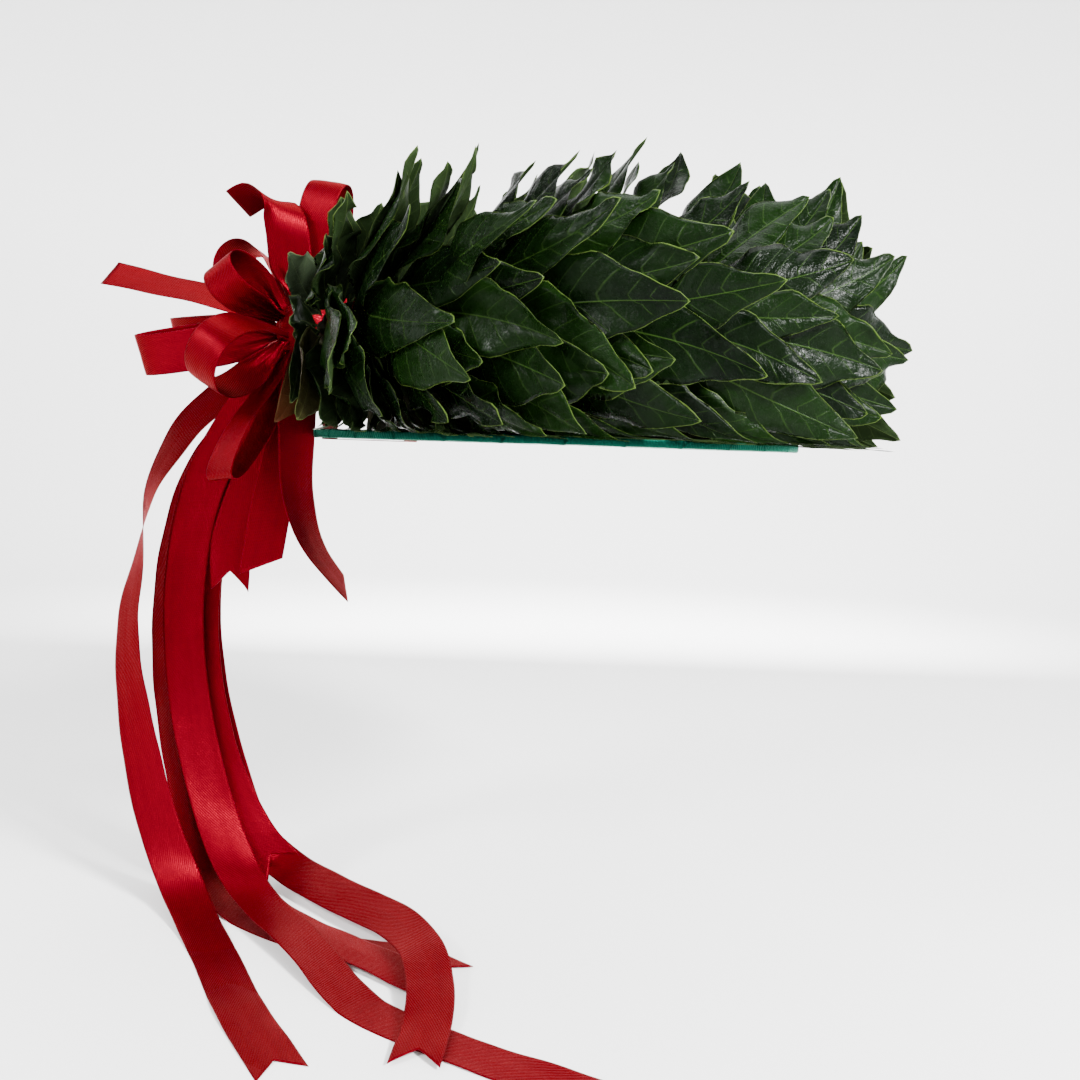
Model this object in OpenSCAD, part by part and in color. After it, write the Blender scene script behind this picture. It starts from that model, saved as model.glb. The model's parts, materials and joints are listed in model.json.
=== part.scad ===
// Laurel wreath crown: a ribbon-bound ring, two branches of laurel leaves and a satin bow with streamers.
// Millimetres. The origin is the middle of the head opening, level with the underside of the ring.
// +Z is up, +Y is the back, where the bow is tied, and -X is the wearer's right.

/* [Ring] */
// Radius of the head opening
head_r = 90; // [80:1:98]
// Width of the flat underside, from the opening outwards
ring_w = 50; // [46:1:58]
// Height of the upright outer rim
rim_h = 5; // [3:0.5:7]
// Radius of the roll of stems on top of the ring
roll_r = 14; // [11:0.5:17]
// Height of the roll's middle above the underside
roll_z = 58; // [54:1:62]
// Distance of the roll's middle inwards from the outer rim
roll_in = 15; // [12:0.5:20]
// Width of the waist between the flat ring and the roll
waist_w = 20; // [14:0.5:22]

/* [Leaves] */
// Number of leaves in each branch
leaf_count = 88; // [60:1:92]
// Length of a full-grown leaf
leaf_len = 92; // [74:1:96]
// Width of a full-grown leaf
leaf_w = 40; // [24:0.5:42]
// Thickness of a leaf along its midrib
leaf_t = 1; // [0.6:0.1:1.2]
// Gap between a leaf's stalk and the roll
leaf_gap = 0.3; // [0.2:0.05:0.6]
// Lift of the lowest leaves off the roll, in degrees
lift_low = 41; // [37:0.5:44]
// Lift of the outer leaves off the roll, in degrees
lift_side = 33; // [29:0.5:37]
// Lift of the top leaves off the roll, in degrees
lift_top = 49; // [44:0.5:53]
// Largest turn of a leaf to either side, in degrees
leaf_turn = 15; // [0:0.5:18]
// How far a leaf rolls about its midrib, in degrees
leaf_roll = 4; // [0:0.5:6]

/* [Ribbon] */
// Width of the satin ribbon
ribbon_w = 25; // [18:0.5:27]
// Thickness of the satin ribbon
ribbon_t = 1; // [0.8:0.1:1.1]
// Radius of the bow's knot
knot_r = 17; // [14:0.5:19]
// Length of the bow's loops and short tails against the ones shown
bow_size = 100; // [90:1:105]
// Depth of the surface the streamers lie on, below the ring's underside
hang_h = 290; // [260:5:320]
// Gap between a ribbon and the piece that it comes out of
ribbon_gap = 0.3; // [0.2:0.05:0.5]

/* [Hidden] */

ring_r = head_r + ring_w;
roll_at = ring_r - roll_in;
half_len = PI*roll_at;
golden = 0.618034;

// Leaves leave the roll between these angles round its section, 0 outwards and 90 up
low_angle = -88;
high_angle = 108;
// Middle of the first leaf's stalk, along the roll from the middle of the bow
first_leaf = 37;
// Stalks end this far before the front, and the tips of the leaves this far before it
last_stalk = 9;
tips_apart = 3;
// The bow presses the outer leaves flat over this length, down to this share of their climb
press_len = 120;
press_side = 0.5;
// [angle, share of the climb]
press_table = [[-60, 1.2], [-20, press_side], [20, press_side], [85, 1]];
// Before the front the leaves stand up over this length, the low ones less and the top ones more
stand_len = 110;
// [angle, share]
stand_table = [[0, 0.2], [80, 0.65]];
// Leaves stand closer together in the low rows than in the inner ones, by this share
crowded = 0.25;
// The outer side is fuller below, by this share
corner = 0.34;
// The outer leaves beside the bow droop by this many degrees, less and less over this share of the leaves
droop = 34;
droop_share = 0.4;
// Leaves at the first angle and above don't droop, and less far up than the second they droop fully
droop_none = 45;
droop_full = -15;
// The top leaves start this much further from the bow than the outer ones, from the first angle to the second
top_back = 14;
back_from = 15;
back_to = 80;

// Angle round the roll's section at which the knot sits
knot_angle = 12;
band_skin = ribbon_gap + ribbon_t;
knot_out = roll_r + band_skin + ribbon_gap + knot_r;
knot_c = [0, roll_at + knot_out*cos(knot_angle), roll_z + knot_out*sin(knot_angle)];
drop = knot_c[2] + hang_h - ribbon_t/2;

// The first leaves beside the bow are shorter by this share, less and less over this share of the leaves
young = 0.35;
young_share = 0.14;
// Shares by which single leaves are shorter or narrower than a full-grown one, twice this at most
size_varies = 0.1;
width_varies = 0.12;
// A short leaf has this share of the full width, and this share more in step with its length
slim = 0.3;
slim_grows = 0.8;
// How hollow a leaf's upper side is, and by how much that varies
hollow = 0.35;
hollow_varies = 0.25;
// Steps that spread these values over the leaves without repeating
turn_step = 0.4142;
size_step = 0.7549;
width_step = 0.5698;
hollow_step = 0.2361;
roll_step = 0.6823;
// A leaf's lift is the mean slope of its surface over this stretch beyond the stalk
lift_from = 5;
lift_over = 40;

// The waist ends this many radii below the roll's middle and meets it at the first angle round its section;
// the inner wall meets it at the second, and is upright up to this share of its height
waist_top = 1.3;
waist_angle = -110;
inner_angle = 140;
wall_share = 0.6;

function frac(x) = x - floor(x);
function smooth(x) = let (t = min(1, max(0, x))) t*t*(3 - 2*t);
function unit(v) = v/norm(v);
// An even spread of values from -1 to 1 over the leaves, different for each step
function spread(i, step) = 2*frac(i*step) - 1;

// Leaf shape: share of the length from the stalk, and share of the full width there
// [along, wide]
leaf_shape = [[0.10, 0.20], [0.30, 0.78], [0.52, 1.00], [0.76, 0.74], [0.91, 0.28]];

// Branches: side of the head, and first step of the leaf order
// [side, start]
right_branch = [-1, 0.10];
left_branch = [1, 0.45];

// Rows of leaves by their angle round the roll's section
// [from, to]
lower_row = [-90, -26];
outer_row = [-26, 18];
upper_row = [18, 63];
inner_row = [63, 180];

function leaf_angle(i, b) = let (share = frac(i*golden + b[1]))
    low_angle + (high_angle - low_angle)*(share - crowded*share*(1 - share));

// All leaves lie on one family of surfaces that climb off the roll, so none of them meet. Climb is how far
// such a surface has grown by distance a along the roll: less beside the bow and more before the front
function ramp(x) = let (t = min(1, max(0, x))) t*t*t - t*t*t*t/2;
function climb(a, angle) = let (t = min(1, a/press_len))
    a - (1 - lookup(angle, press_table))*press_len*(t - ramp(t))
        + lookup(angle, stand_table)*stand_len*ramp((a - half_len + stand_len)/stand_len);
function lift_rate(angle) = tan(lookup(angle, [[low_angle, lift_low], [0, lift_side], [80, lift_top]]));
function surface_out(a, start, angle) =
    roll_r + leaf_gap + lift_rate(angle)*max(0, climb(a, angle) - climb(start, angle));

// Stalks stand at even steps of the outer leaves' climb
climb_first = climb(first_leaf, 0);
climb_last = climb(half_len - last_stalk, 0);
function start_at(goal, a) =
    let (slope = climb(a + 0.5, 0) - climb(a - 0.5, 0), next = a - (climb(a, 0) - goal)/slope)
    abs(next - a) < 0.01 ? next : start_at(goal, next);
function leaf_start(i, angle) = let (share = i/(leaf_count - 1))
    start_at(climb_first + share*(climb_last - climb_first),
        first_leaf + share*(half_len - first_leaf - last_stalk))
        + top_back*smooth((angle - back_from)/(back_to - back_from))*pow(1 - share, 3);

// Low leaves bend up where the waist and the flat ring are: the lowest angle that is left at each distance,
// as a share of the roll's height
// [distance, angle]
floor_table = [[0.24, 118], [0.69, 90], [0.86, 68], [1.03, 56], [1.38, 44]];
function floor_angle(out) = lookup(out/roll_z, floor_table);
function bulged(angle, out) = angle > 0 ? out : out + (out - roll_r)*corner*pow(sin(2*angle), 2);
function bent(angle, out) = angle > 0 ? angle : angle/pow(1 + pow(angle/floor_angle(out), 4), 0.25);

// Below the ring's underside leaves lie nearly level, at this share of their depth, but hang free by the bow
under_share = 0.2;
function level(z, a) = z > 0 ? z : z*(under_share + (1 - under_share)*smooth(1 - a/press_len));

// A point of the wreath: distance along the roll, angle round its section, distance from its middle
function on_roll(a, angle, out, side) = let (t = a/roll_at*180/PI, r = roll_at + out*cos(angle))
    [side*r*sin(t), r*cos(t), level(roll_z + out*sin(angle), a)];
function out_dir(a, angle, side) = let (t = a/roll_at*180/PI)
    [side*cos(angle)*sin(t), cos(angle)*cos(t), sin(angle)];
function along_dir(a, side) = let (t = a/roll_at*180/PI) [side*cos(t), -sin(t), 0];

// What is particular to leaf i on branch b
// [angle, start, length along, lift, half width, turn, hollow, roll]
function leaf_facts(i, b) =
    let (angle = leaf_angle(i, b), start = leaf_start(i, angle),
        shorter = young*smooth(1 - i/(leaf_count - 1)/young_share),
        size = (1 - size_varies*(1 - spread(i, size_step)))*(1 - shorter),
        rise = climb(start + lift_from + lift_over, angle) - climb(start + lift_from, angle),
        fade = smooth(1 - i/(leaf_count - 1)/droop_share)
            *smooth((droop_none - angle)/(droop_none - droop_full)),
        turn = leaf_turn*spread(i, turn_step) - droop*fade, lift = atan(lift_rate(angle)*rise/lift_over),
        room = (half_len - tips_apart - start)/cos(lift),
        long = min(leaf_len*size, room),
        half_w = leaf_w/2*(1 - width_varies*(1 - spread(i, width_step)))
            *min(1, slim + slim_grows*long/leaf_len))
    [angle, start, long*cos(lift), lift, half_w, turn*min(1, long/leaf_len),
        hollow + hollow_varies*spread(i, hollow_step), tan(leaf_roll*spread(i, roll_step))];

// A leaf widens and turns a little less than its distance from the roll's middle asks
width_ease = 3;
turn_ease = 6;

// A point of a leaf: share s along it, share v across it where it is wide, height n over its middle plane
function leaf_point(f, side, s, v, wide, n) =
    let (e = v*wide*f[4], a = f[1] + f[2]*s*cos(f[5]) - e*sin(f[5])*cos(f[3]),
        mid_out = surface_out(f[1] + f[2]*s*cos(f[5]), f[1], f[0]),
        sideways = f[2]/cos(f[3])*s*sin(f[5])/((roll_r + mid_out)/2 + turn_ease)
            + e*cos(f[5])/(mid_out + width_ease),
        angle = f[0] + sideways*180/PI,
        out = surface_out(a, f[1], angle), bend = bent(angle, out),
        normal = cos(f[3])*out_dir(a, bend, side) - sin(f[3])*along_dir(a, side))
    on_roll(a, bend, bulged(bend, out), side) + normal*(n + f[6]*e*e/2/out + f[7]*e);

function leaf_points(i, b) = let (f = leaf_facts(i, b), side = b[0]) concat(
    [leaf_point(f, side, 0, 0, 0, 0)],
    [for (row = leaf_shape, edge = [[-1, 0], [0, 0.5], [1, 0], [0, -0.5]])
        leaf_point(f, side, row[0], edge[0], row[1], edge[1]*leaf_t)],
    [leaf_point(f, side, 1, 0, 0, 0)]);

leaf_size = 4*len(leaf_shape) + 2;
// Both sides of a leaf split their quads the same way, so that a twisted one never cuts itself
function turned(f, side) = side < 0 ? f : [f[2], f[1], f[0]];
function leaf_faces(first, side) = [for (f = concat(
    [for (k = [0:3]) [0, 1 + (k + 1)%4, 1 + k]],
    [for (j = [0:len(leaf_shape) - 2], k = [0:3]) each
        let (p = 1 + 4*j + k, q = 1 + 4*j + (k + 1)%4)
            k < 2 ? [[p, q, q + 4], [p, q + 4, p + 4]] : [[p, q, p + 4], [q, q + 4, p + 4]]],
    let (tip = leaf_size - 1, p = leaf_size - 5) [for (k = [0:3]) [p + k, p + (k + 1)%4, tip]]))
    turned(f + [first, first, first], side)];

// All the leaves of one branch whose angle lies in the row
module leaf_row(b, row) {
    chosen = [for (i = [0:leaf_count - 1]) if (leaf_angle(i, b) >= row[0] && leaf_angle(i, b) < row[1]) i];
    polyhedron(
        points = [for (i = chosen) each leaf_points(i, b)],
        faces = [for (k = [0:len(chosen) - 1]) each leaf_faces(k*leaf_size, b[0])],
        convexity = 10);
}

// The flat ring wound with ribbon, and the bound stems that stand on it
module base_ring() {
    color("seagreen") rotate_extrude($fn = 96) translate([head_r, 0]) square([ring_w, rim_h]);
}
module stem_roll() {
    color("darkolivegreen") rotate_extrude($fn = 96) {
        polygon([[head_r, rim_h], [head_r + waist_w, rim_h], [head_r + waist_w, roll_z - roll_r*waist_top],
            [roll_at + roll_r*cos(waist_angle), roll_z + roll_r*sin(waist_angle)],
            [roll_at, roll_z],
            [roll_at + roll_r*cos(inner_angle), roll_z + roll_r*sin(inner_angle)],
            [head_r, roll_z*wall_share]]);
        translate([roll_at, roll_z]) circle(r = roll_r, $fn = 64);
    }
}

// A ribbon's rows: [x, y, z, width line x, y, z, width]
function spline(rows, t) = let (i = min(len(rows) - 2, max(0, floor(t))), f = t - i,
    a = rows[max(0, i - 1)], b = rows[i], c = rows[i + 1], d = rows[min(len(rows) - 1, i + 2)])
    0.5*((2*b) + (c - a)*f + (2*a - 5*b + 4*c - d)*f*f + (3*b - a - 3*c + d)*f*f*f);
function part(row, first) = [row[first], row[first + 1], row[first + 2]];
function strip_ring(rows, t, cut) =
    let (row = spline(rows, t), last = len(rows) - 1, step = 0.02,
        ahead = spline(rows, min(last, t + step)), behind = spline(rows, max(0, t - step)),
        heading = unit(part(ahead, 0) - part(behind, 0)),
        line = part(row, 3), across = unit(line - (line*heading)*heading), face = cross(heading, across))
    [for (side = [1, -1], v = side*[-1, 0, 1])
        part(row, 0) + across*v*row[6]/2 + face*side*ribbon_t/2 - heading*cut[v + 1]];
// A ribbon through its rows, with a ring of six points at each step and the end cut as told. Its two faces
// split their quads the same way, so that a twisted one never cuts itself
module strip(rows, steps, cut = [0, 0, 0]) {
    last = len(rows) - 1;
    rings = [for (k = [0:steps]) strip_ring(rows, k*last/steps, k == steps ? cut : [0, 0, 0])];
    top = 6*steps;
    polyhedron(
        points = [for (ring = rings) each ring],
        faces = concat(
            [[4, 1, 0], [5, 4, 0], [3, 2, 1], [4, 3, 1]],
            [for (j = [0:steps - 1], k = [0:5]) each
                let (p = 6*j + k, q = 6*j + (k + 1)%6)
                    k < 3 ? [[q + 6, p + 6, p], [q, q + 6, p]] : [[q, p + 6, p], [q, q + 6, p + 6]]],
            [[top, top + 1, top + 4], [top, top + 4, top + 5],
                [top + 1, top + 2, top + 3], [top + 1, top + 3, top + 4]]),
        convexity = 6);
}

// The ribbon is gathered where it enters the knot and opens to its full width
gather = 0.3;
open_len = 24;
function gathered(far) = ribbon_w*(gather + (1 - gather)*smooth(far/open_len));
root = knot_r + ribbon_gap;

// Bow loops, each in a plane through the knot. Heading is the angle seen from above, 0 straight back and 90
// to the wearer's right; climb is the angle above level; lean turns the loop about its own line; reach and
// swell are its length and opening as shares of the bow size
// [heading, climb, lean, reach, swell]
loop_table = [
    ["loop_top",      180,  80,  80, 0.72, 0.22],
    ["loop_arch",     -30,  33,  24, 0.76, 0.32],
    ["loop_small",     50,  30,  30, 0.48, 0.22],
    ["loop_corner",   -62,  60,  40, 0.50, 0.20],
    ["loop_behind",   -18,  -1,  78, 0.92, 0.18],
    ["loop_side",      10, -10,  74, 0.86, 0.20],
    ["loop_front",     64, -20, -26, 0.64, 0.40],
    ["loop_hanging",   66, -55,   8, 0.92, 0.14],
    ["loop_far_low",  -82, -14,  50, 0.60, 0.26],
    ["loop_far_high", -90,  36,  40, 0.56, 0.24]];
loop_steps = 14;
// Half the gap between a loop's two ends, over this first length
mouth = 1.6;
mouth_len = 20;
// Makes a loop as open as its swell where it is widest
fullness = 1.3;
function loop_rows(p) =
    let (heading = p[1], climb = p[2], lean = p[3], reach = p[4]*bow_size, swell = p[5]*bow_size,
        d = [-sin(heading)*cos(climb), cos(heading)*cos(climb), sin(climb)],
        flat = [-cos(heading), -sin(heading), 0], up = cross(d, flat),
        line = flat*cos(lean) + up*sin(lean), open = cross(line, d))
    [for (k = [0:loop_steps]) let (t = 360*k/loop_steps, far = reach*(1 - cos(t))/2,
        off = swell/2*sin(t)*sin(t/2)*fullness + mouth*(1 - k/loop_steps*2)*(1 - smooth(far/mouth_len)))
        concat(knot_c + d*(root + far) + open*off, line, [gathered(far)])];
module loop_ribbon(name) {
    p = [for (row = loop_table) if (row[0] == name) row][0];
    color("crimson") strip(loop_rows(p), loop_steps);
}

// Short tails and streamers: places as shares of a length, measured from the middle of the knot; the width
// line's heading, 0 along Y and 90 along X, and its climb above level. The first row gives only the
// direction in which the ribbon leaves the knot
// [x, y, z, heading, climb]
straight_out = 9;
function hung_rows(table, length) =
    [for (k = [-1:len(table) - 1]) let (row = table[max(0, k)], place = [row[0], row[1], row[2]],
        off = k > 0 ? length*place : (k < 0 ? root : root + straight_out)*unit(place),
        line = [sin(row[3])*cos(row[4]), -cos(row[3])*cos(row[4]), sin(row[4])])
        concat(knot_c + off, line, [gathered(norm(off) - root)])];

curl_table = [
    [-0.07,  0.00,  0.155, 30,   0],
    [-0.18,  0.02,  0.37,  24,   0],
    [-0.23,  0.03,  0.57,  34,   0],
    [-0.24,  0.08,  0.70,  50, -10],
    [-0.24,  0.21,  0.75,  66, -16],
    [-0.24,  0.33,  0.70,  70, -18]];
straight_table = [
    [-0.01,  0.16,  0.07,  88,  35],
    [-0.04,  0.36,  0.14,  88,  34],
    [-0.09,  0.65,  0.21,  88,  34],
    [-0.14,  0.95,  0.27,  88,  36],
    [-0.18,  1.20,  0.32,  88,  38]];
swallow_table = [
    [-0.02, -0.03, -0.165, 12,   0],
    [-0.04,  0.04, -0.46,   6,   0],
    [-0.10,  0.26, -0.86,   6,   0],
    [-0.15,  0.39, -1.28,  14,   0],
    [-0.17,  0.40, -1.60,   0,   0]];
slant_table = [
    [-0.06, -0.02, -0.16,  12,   0],
    [-0.13,  0.02, -0.52,  10,   0],
    [-0.20,  0.11, -1.02,   8,   0],
    [-0.25,  0.17, -1.50,   6,   0]];
point_table = [
    [-0.14, -0.05, -0.08,  34,   0],
    [-0.27, -0.07, -0.50,  50,   0],
    [-0.32, -0.10, -1.00,  68,   0],
    [-0.33, -0.23, -1.32,  84,   0],
    [-0.34, -0.48, -1.58,  92,   0]];

left_table = [
    [-0.006, 0.040, -0.030,  90,  0],
    [-0.008, 0.130, -0.098,  64,  0],
    [-0.042, 0.200, -0.175,  72,  0],
    [-0.075, 0.247, -0.280, 104,  0],
    [-0.075, 0.265, -0.390, 130,  0],
    [-0.075, 0.288, -0.520, 150,  0],
    [-0.075, 0.280, -0.660, 170,  0],
    [-0.080, 0.238, -0.835, 190,  0],
    [-0.118, 0.158, -0.965, 200,  0],
    [-0.244, 0.040, -1.000, 212,  0],
    [-0.402, -0.085, -1.000, 214, 0],
    [-0.536, -0.209, -1.000, 218, 0]];
under_table = [
    [ 0.022, 0.038, -0.036,  75,  0],
    [ 0.066, 0.125, -0.112,  75,  0],
    [ 0.052, 0.215, -0.230,  75,  0],
    [ 0.015, 0.252, -0.390,  76,  0],
    [ 0.000, 0.260, -0.540,  78,  0],
    [-0.010, 0.245, -0.690,  80,  0],
    [-0.017, 0.202, -0.862,  76,  0],
    [-0.035, 0.150, -0.972,  62,  0],
    [-0.115, 0.040, -1.000,  50,  0],
    [-0.170, -0.090, -1.000, 66,  0],
    [-0.180, -0.190, -1.000, 76,  0],
    [-0.185, -0.270, -1.000, 72,  0],
    [-0.225, -0.360, -1.000, 60,  0]];
low_table = [
    [ 0.032, 0.020, -0.032,  75,  0],
    [ 0.090, 0.092, -0.130,  75,  0],
    [ 0.080, 0.170, -0.250,  75,  0],
    [ 0.060, 0.215, -0.390,  76,  0],
    [ 0.045, 0.228, -0.540,  76,  0],
    [ 0.032, 0.216, -0.690,  76,  0],
    [ 0.020, 0.178, -0.862,  70,  0],
    [-0.008, 0.115, -0.962,  56,  0],
    [-0.095, 0.010, -0.990,  54,  0],
    [-0.180, -0.135, -0.991, 62,  0],
    [-0.241, -0.255, -0.992, 62,  0],
    [-0.284, -0.339, -0.993, 62,  0]];
long_table = [
    [-0.010, 0.022, -0.043,  12,  0],
    [-0.030, 0.096, -0.140,   8,  0],
    [-0.042, 0.160, -0.260,  12,  0],
    [-0.040, 0.196, -0.400,  12,  0],
    [-0.042, 0.202, -0.540,  14,  0],
    [-0.045, 0.180, -0.694,  16,  0],
    [-0.056, 0.126, -0.862,  22,  0],
    [-0.100, 0.045, -0.955,  34,  0],
    [-0.220, -0.100, -0.978, 46,  0],
    [-0.350, -0.246, -1.000, 48,  0],
    [-0.414, -0.384, -1.000, 62,  0],
    [-0.458, -0.505, -1.000, 70,  0],
    [-0.490, -0.615, -1.000, 72,  0]];
over_table = [
    [ 0.000, 0.016, -0.046,   8,  0],
    [-0.004, 0.090, -0.160,   8,  0],
    [-0.010, 0.154, -0.300,   6,  0],
    [-0.014, 0.184, -0.450,   4,  0],
    [-0.018, 0.178, -0.600,   4,  0],
    [-0.024, 0.138, -0.760,   8,  0],
    [-0.030, 0.075, -0.880,  12,  0],
    [-0.030, 0.015, -0.945,  14,  0]];
fold_table = [
    [ 0.014, 0.012, -0.045,   8,  0],
    [ 0.026, 0.095, -0.170,   6,  0],
    [ 0.016, 0.166, -0.310,   6,  0],
    [ 0.008, 0.192, -0.460,   6,  0],
    [ 0.006, 0.182, -0.620,  10,  0],
    [ 0.012, 0.145, -0.780,  18,  0],
    [ 0.020, 0.100, -0.900,  34,  0],
    [ 0.020, 0.025, -0.962,  54, 20],
    [-0.066, -0.110, -0.966, 60, 26],
    [-0.143, -0.224, -0.962, 44, 20],
    [-0.221, -0.296, -0.964, 26,  8],
    [-0.302, -0.336, -0.976, 16,  0],
    [-0.383, -0.357, -0.986, 12,  0],
    [-0.485, -0.368, -0.994, 10,  0]];

swallow_cut = [0, 12, 0];
slant_cut = [0, 7, 14];
point_cut = [0, 9, 18];
square_cut = [0, 0, 0];

module tail(table, length, steps, cut) {
    color("crimson") strip(hung_rows(table, length), steps, cut);
}

// The band that ties the bow on: a closed turn of ribbon round the ring's section
// [x outwards, z] of the section, and the way out of it there
band_from = -5;
band_steps = 10;
function band_path() = concat(
    [for (k = [0:band_steps]) let (angle = band_from + (inner_angle - band_from)*k/band_steps,
        way = [cos(angle), sin(angle)]) [[roll_at, roll_z] + roll_r*way, way]],
    [[[head_r, roll_z*wall_share], [-1, 0.4]], [[head_r, 0], [-1, -1]],
        [[ring_r, 0], [1, -1]], [[ring_r, rim_h], [1, 0.1]]]);
module tie_band() {
    path = band_path();
    count = len(path);
    inner = [for (v = [-0.5:0.25:0.5]) [ribbon_gap, v]];
    outer = [for (v = [0.5:-0.25:-0.5]) [band_skin, v]];
    around = concat(inner, outer);
    sides = len(around);
    ring = [for (p = path, c = around) let (q = p[0] + p[1]*c[0], t = c[1]*ribbon_w/q[0]*180/PI)
        [q[0]*sin(t), q[0]*cos(t), q[1]]];
    function edge(k, c) = sides*(k%count) + c%sides;
    color("crimson") polyhedron(
        points = ring,
        faces = [for (k = [0:count - 1], c = [0:sides - 1]) each
            [[edge(k, c), edge(k + 1, c + 1), edge(k, c + 1)],
                [edge(k, c), edge(k + 1, c), edge(k + 1, c + 1)]]],
        convexity = 4);
}

// The knot: a short barrel of ribbon, its length along the wearer's left and right, with ends cut off a ball
// at this share of its radius
knot_ends = 0.9;
module bow_knot() {
    color("firebrick") translate(knot_c) rotate([0, 90, 0])
        rotate_extrude($fn = 48) intersection() {
            circle(r = knot_r, $fn = 48);
            translate([0, -knot_r*knot_ends]) square([knot_r, 2*knot_r*knot_ends]);
        }
}

base_ring();
stem_roll();
tie_band();
bow_knot();
color("darkgreen") leaf_row(right_branch, lower_row);  // leaves_right_lower
color("darkgreen") leaf_row(right_branch, outer_row);  // leaves_right_outer
color("darkgreen") leaf_row(right_branch, upper_row);  // leaves_right_upper
color("darkgreen") leaf_row(right_branch, inner_row);  // leaves_right_inner
color("darkgreen") leaf_row(left_branch, lower_row);  // leaves_left_lower
color("darkgreen") leaf_row(left_branch, outer_row);  // leaves_left_outer
color("darkgreen") leaf_row(left_branch, upper_row);  // leaves_left_upper
color("darkgreen") leaf_row(left_branch, inner_row);  // leaves_left_inner
loop_ribbon("loop_top");  // loop_top
loop_ribbon("loop_arch");  // loop_arch
loop_ribbon("loop_small");  // loop_small
loop_ribbon("loop_corner");  // loop_corner
loop_ribbon("loop_behind");  // loop_behind
loop_ribbon("loop_side");  // loop_side
loop_ribbon("loop_front");  // loop_front
loop_ribbon("loop_hanging");  // loop_hanging
loop_ribbon("loop_far_low");  // loop_far_low
loop_ribbon("loop_far_high");  // loop_far_high
tail(curl_table, bow_size, 12, square_cut);  // tail_curl
tail(straight_table, bow_size, 8, square_cut);  // tail_straight
tail(swallow_table, bow_size, 10, swallow_cut);  // tail_swallow
tail(slant_table, bow_size, 8, slant_cut);  // tail_slant
tail(point_table, bow_size, 8, point_cut);  // tail_point
tail(left_table, drop, 30, swallow_cut);  // streamer_left
tail(under_table, drop, 22, swallow_cut);  // streamer_under
tail(low_table, drop, 20, swallow_cut);  // streamer_low
tail(long_table, drop, 24, swallow_cut);  // streamer_long
tail(over_table, drop, 14, swallow_cut);  // streamer_over
tail(fold_table, drop, 28, swallow_cut);  // streamer_fold
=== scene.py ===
"""Looks of the laurel wreath crown: laurel leaves, satin ribbons, the wound ring, floor, light and camera.

Shapes are worked out in millimetres, as in the solids, and become metres when a mesh is made.
"""

import json
import math

import bpy
import numpy as np
from mathutils import Matrix, Vector

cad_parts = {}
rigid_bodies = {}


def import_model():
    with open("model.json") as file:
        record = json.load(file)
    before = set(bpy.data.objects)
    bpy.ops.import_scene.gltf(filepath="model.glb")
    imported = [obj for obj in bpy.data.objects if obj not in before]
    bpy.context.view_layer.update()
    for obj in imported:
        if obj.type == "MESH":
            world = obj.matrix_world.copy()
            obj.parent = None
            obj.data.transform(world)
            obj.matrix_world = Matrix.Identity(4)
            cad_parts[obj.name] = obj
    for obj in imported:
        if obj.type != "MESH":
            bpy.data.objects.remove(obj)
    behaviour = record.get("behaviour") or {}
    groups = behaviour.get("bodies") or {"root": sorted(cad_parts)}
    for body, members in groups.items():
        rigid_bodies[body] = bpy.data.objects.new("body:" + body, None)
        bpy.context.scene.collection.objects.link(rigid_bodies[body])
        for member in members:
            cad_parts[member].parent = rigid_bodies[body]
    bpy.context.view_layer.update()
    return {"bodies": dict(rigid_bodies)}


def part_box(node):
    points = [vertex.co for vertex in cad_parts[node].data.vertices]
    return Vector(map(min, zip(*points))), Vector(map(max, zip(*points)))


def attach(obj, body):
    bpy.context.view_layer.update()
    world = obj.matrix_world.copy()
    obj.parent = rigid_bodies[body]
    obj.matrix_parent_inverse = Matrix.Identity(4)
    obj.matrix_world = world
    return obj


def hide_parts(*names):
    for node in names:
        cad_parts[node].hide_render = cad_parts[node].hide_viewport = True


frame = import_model()
BODY = list(frame["bodies"])[0]
MM = 0.001

# Sizes that the solids have

ring_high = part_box("base_ring")[1]
roll_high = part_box("stem_roll")[1]
knot_low, knot_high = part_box("bow_knot")
RING_W = 50
ROLL_R = 14
WAIST_W = 20
RING_R = ring_high.x/MM
RIM_H = ring_high.z/MM
HEAD_R = RING_R - RING_W
ROLL_AT = roll_high.x/MM - ROLL_R
ROLL_Z = roll_high.z/MM - ROLL_R
HALF_LEN = math.pi*ROLL_AT
KNOT_R = (knot_high.z - knot_low.z)/2/MM
KNOT = np.array((knot_low + knot_high)/2)/MM

LEAF_COUNT = 88
LEAF_LEN = 92
LEAF_W = 40
LEAF_GAP = 0.3
LIFTS = [41, 33, 49]
LEAF_TURN = 15
LEAF_ROLL = 4

RIBBON_W = 25
RIBBON_GAP = 0.3
CAD_RIBBON_T = 1
BOW_SIZE = 100
FLOOR_Z = -290
DROP = KNOT[2] - FLOOR_Z - CAD_RIBBON_T/2

GOLDEN = 0.618034
CROWDED = 0.25
LOW_ANGLE, HIGH_ANGLE = -88, 108
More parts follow.
